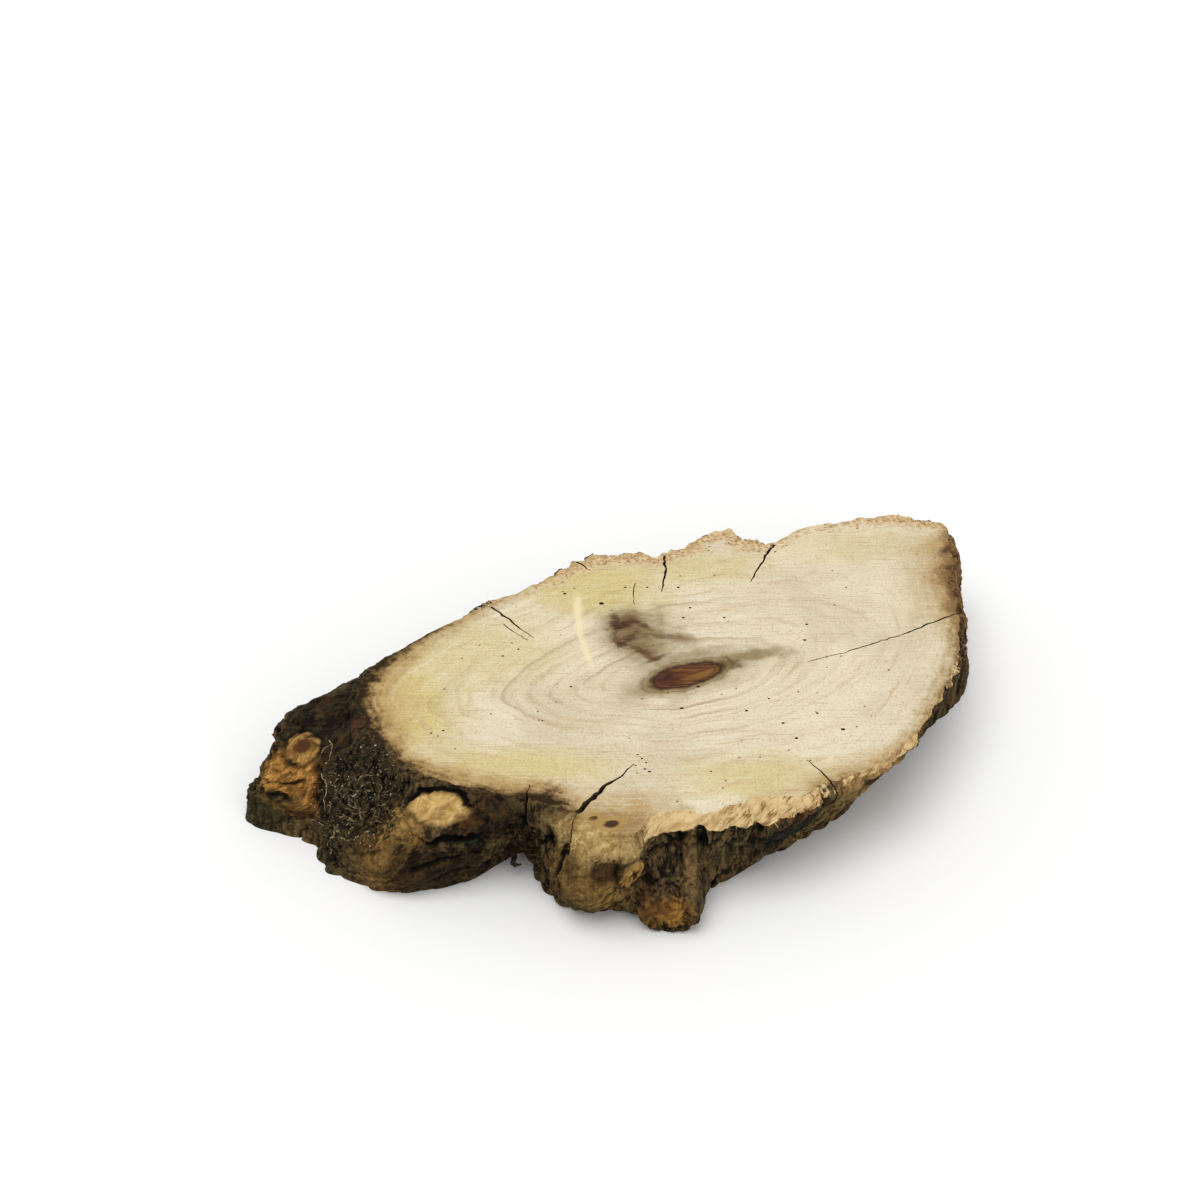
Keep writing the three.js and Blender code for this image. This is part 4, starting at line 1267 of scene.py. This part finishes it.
# loose bits that cling to the slice
soilBits = {"density": 4.2e6, "seed": 4, "least": 0.16, "most": 0.8, "stray": 1.0, "uneven": 0.9}
soilCrumb = bitMaterial("soilCrumb", tone(72, 60, 39), tone(5, 4, 3))
scatter("soilCrumbs", soilBits, crumbShape, "moss", soilCrumb)

# pale flecks in the moss: partly pale grains, partly painted glints
fleckBits = {"density": 1.1e6, "seed": 21, "least": 0.1, "most": 0.4, "stray": 1.0, "uneven": 0.5}
paleFleckAndGlint = bitMaterial("paleFleckAndGlint", tone(186, 170, 142), tone(92, 72, 50))
scatter("paleFlecksAndGlints", fleckBits, crumbShape, "moss", paleFleckAndGlint)

mossBits = {
    "density": 4.0e5, "seed": 9, "least": 0.4, "most": 2.8, "stray": 1.9, "uneven": 1.6, "thin": 0.06 * mm,
}
mossFibre = bitMaterial("mossFibre", tone(152, 134, 97), tone(36, 28, 17))
scatter("mossFibres", mossBits, fibreShape, "moss", mossFibre)

splinterBits = {
    "density": 3.0e5, "seed": 6, "least": 0.4, "most": 1.3, "stray": 0.35, "uneven": 0.3, "thin": 0.15 * mm,
}
frayedFibre = bitMaterial("frayedFibre", tone(218, 192, 144), tone(160, 126, 78))
scatter("frayedFibres", splinterBits, splinterShape, "splinter", frayedFibre, "slope")

chipBits = {"density": 5.0e5, "seed": 2, "least": 0.15, "most": 0.7, "stray": 1.0, "uneven": 0.9}
edgeChip = bitMaterial("edgeChip", tone(222, 198, 155), tone(164, 126, 84))
scatter("edgeChips", chipBits, crumbShape, "chips", edgeChip)

notchBits = {
    "density": 6e5, "seed": 12, "least": 0.5, "most": 2.2, "stray": 1.2, "uneven": 1.0, "thin": 0.16 * mm,
}
notchRoot = bitMaterial("notchRoot", tone(84, 64, 34), tone(20, 15, 8))
scatter("notchRoots", notchBits, fibreShape, "notch", notchRoot)

rootlets("notchCurls", notchCurls, bitMaterial("notchCurl", tone(70, 54, 30), tone(16, 12, 7)))
rootlets("paleRoots", paleRoots, bitMaterial("paleRoot", tone(192, 174, 134), tone(112, 90, 60)))


# plain pale floor, soft light, camera at the photograph's angle

studioLook = {
    "floorHalf": 40.0, "floorTone": (0.93, 0.93, 0.92, 1), "roughness": 0.9, "gloss": 0.0,
    "skyTone": (1.0, 1.0, 1.0, 1), "skyStrength": 0.58,
    "lamps": (  # name, place, width, power
        ("keyLight", (-0.2, -0.35, 1.15), 45, 1.55), ("fillLight", (0.6, -0.9, 0.6), 40, 0.5)),
}
cameraShape = {
    "place": (-23.413, -479.299, 402.991), "down": 36, "lens": 70.0, "sensor": 36.0,
    "near": 0.01, "far": 100.0,
}


def studio():
    s = studioLook
    half = s["floorHalf"]
    mesh = bpy.data.meshes.new("floor")
    corners = [(-half, -half, 0), (half, -half, 0), (half, half, 0), (-half, half, 0)]
    mesh.from_pydata(corners, [], [(0, 1, 2, 3)])
    floorPaint, _, shader = newMaterial("floorPaint", s)
    shader.inputs["Base Color"].default_value = s["floorTone"]
    place("floor", mesh, floorPaint)
    world = bpy.data.worlds.new("studio")
    bpy.context.scene.world = world
    world.use_nodes = True
    sky = world.node_tree.nodes["Background"].inputs
    sky["Color"].default_value, sky["Strength"].default_value = s["skyTone"], s["skyStrength"]
    for name, at, width, power in s["lamps"]:
        lamp = bpy.data.lights.new(name, "SUN")
        lamp.angle, lamp.energy = math.radians(width), power
        light = bpy.data.objects.new(name, lamp)
        light.location = at
        light.rotation_euler = (-Vector(at)).to_track_quat("-Z", "Y").to_euler()
        bpy.context.scene.collection.objects.link(light)


def photoCamera():
    s = cameraShape
    lens = bpy.data.cameras.new("photoCamera")
    lens.lens, lens.sensor_width = s["lens"], s["sensor"]
    lens.clip_start, lens.clip_end = s["near"], s["far"]
    camera = bpy.data.objects.new("photoCamera", lens)
    camera.location = Vector(((np.array(s["place"]) + heart) * mm).tolist())
    camera.rotation_euler = (math.radians(90 - s["down"]), 0, 0)
    bpy.context.scene.collection.objects.link(camera)
    bpy.context.scene.camera = camera


studio()
photoCamera()
bpy.context.scene.view_settings.view_transform = "Standard"

print("scene done")
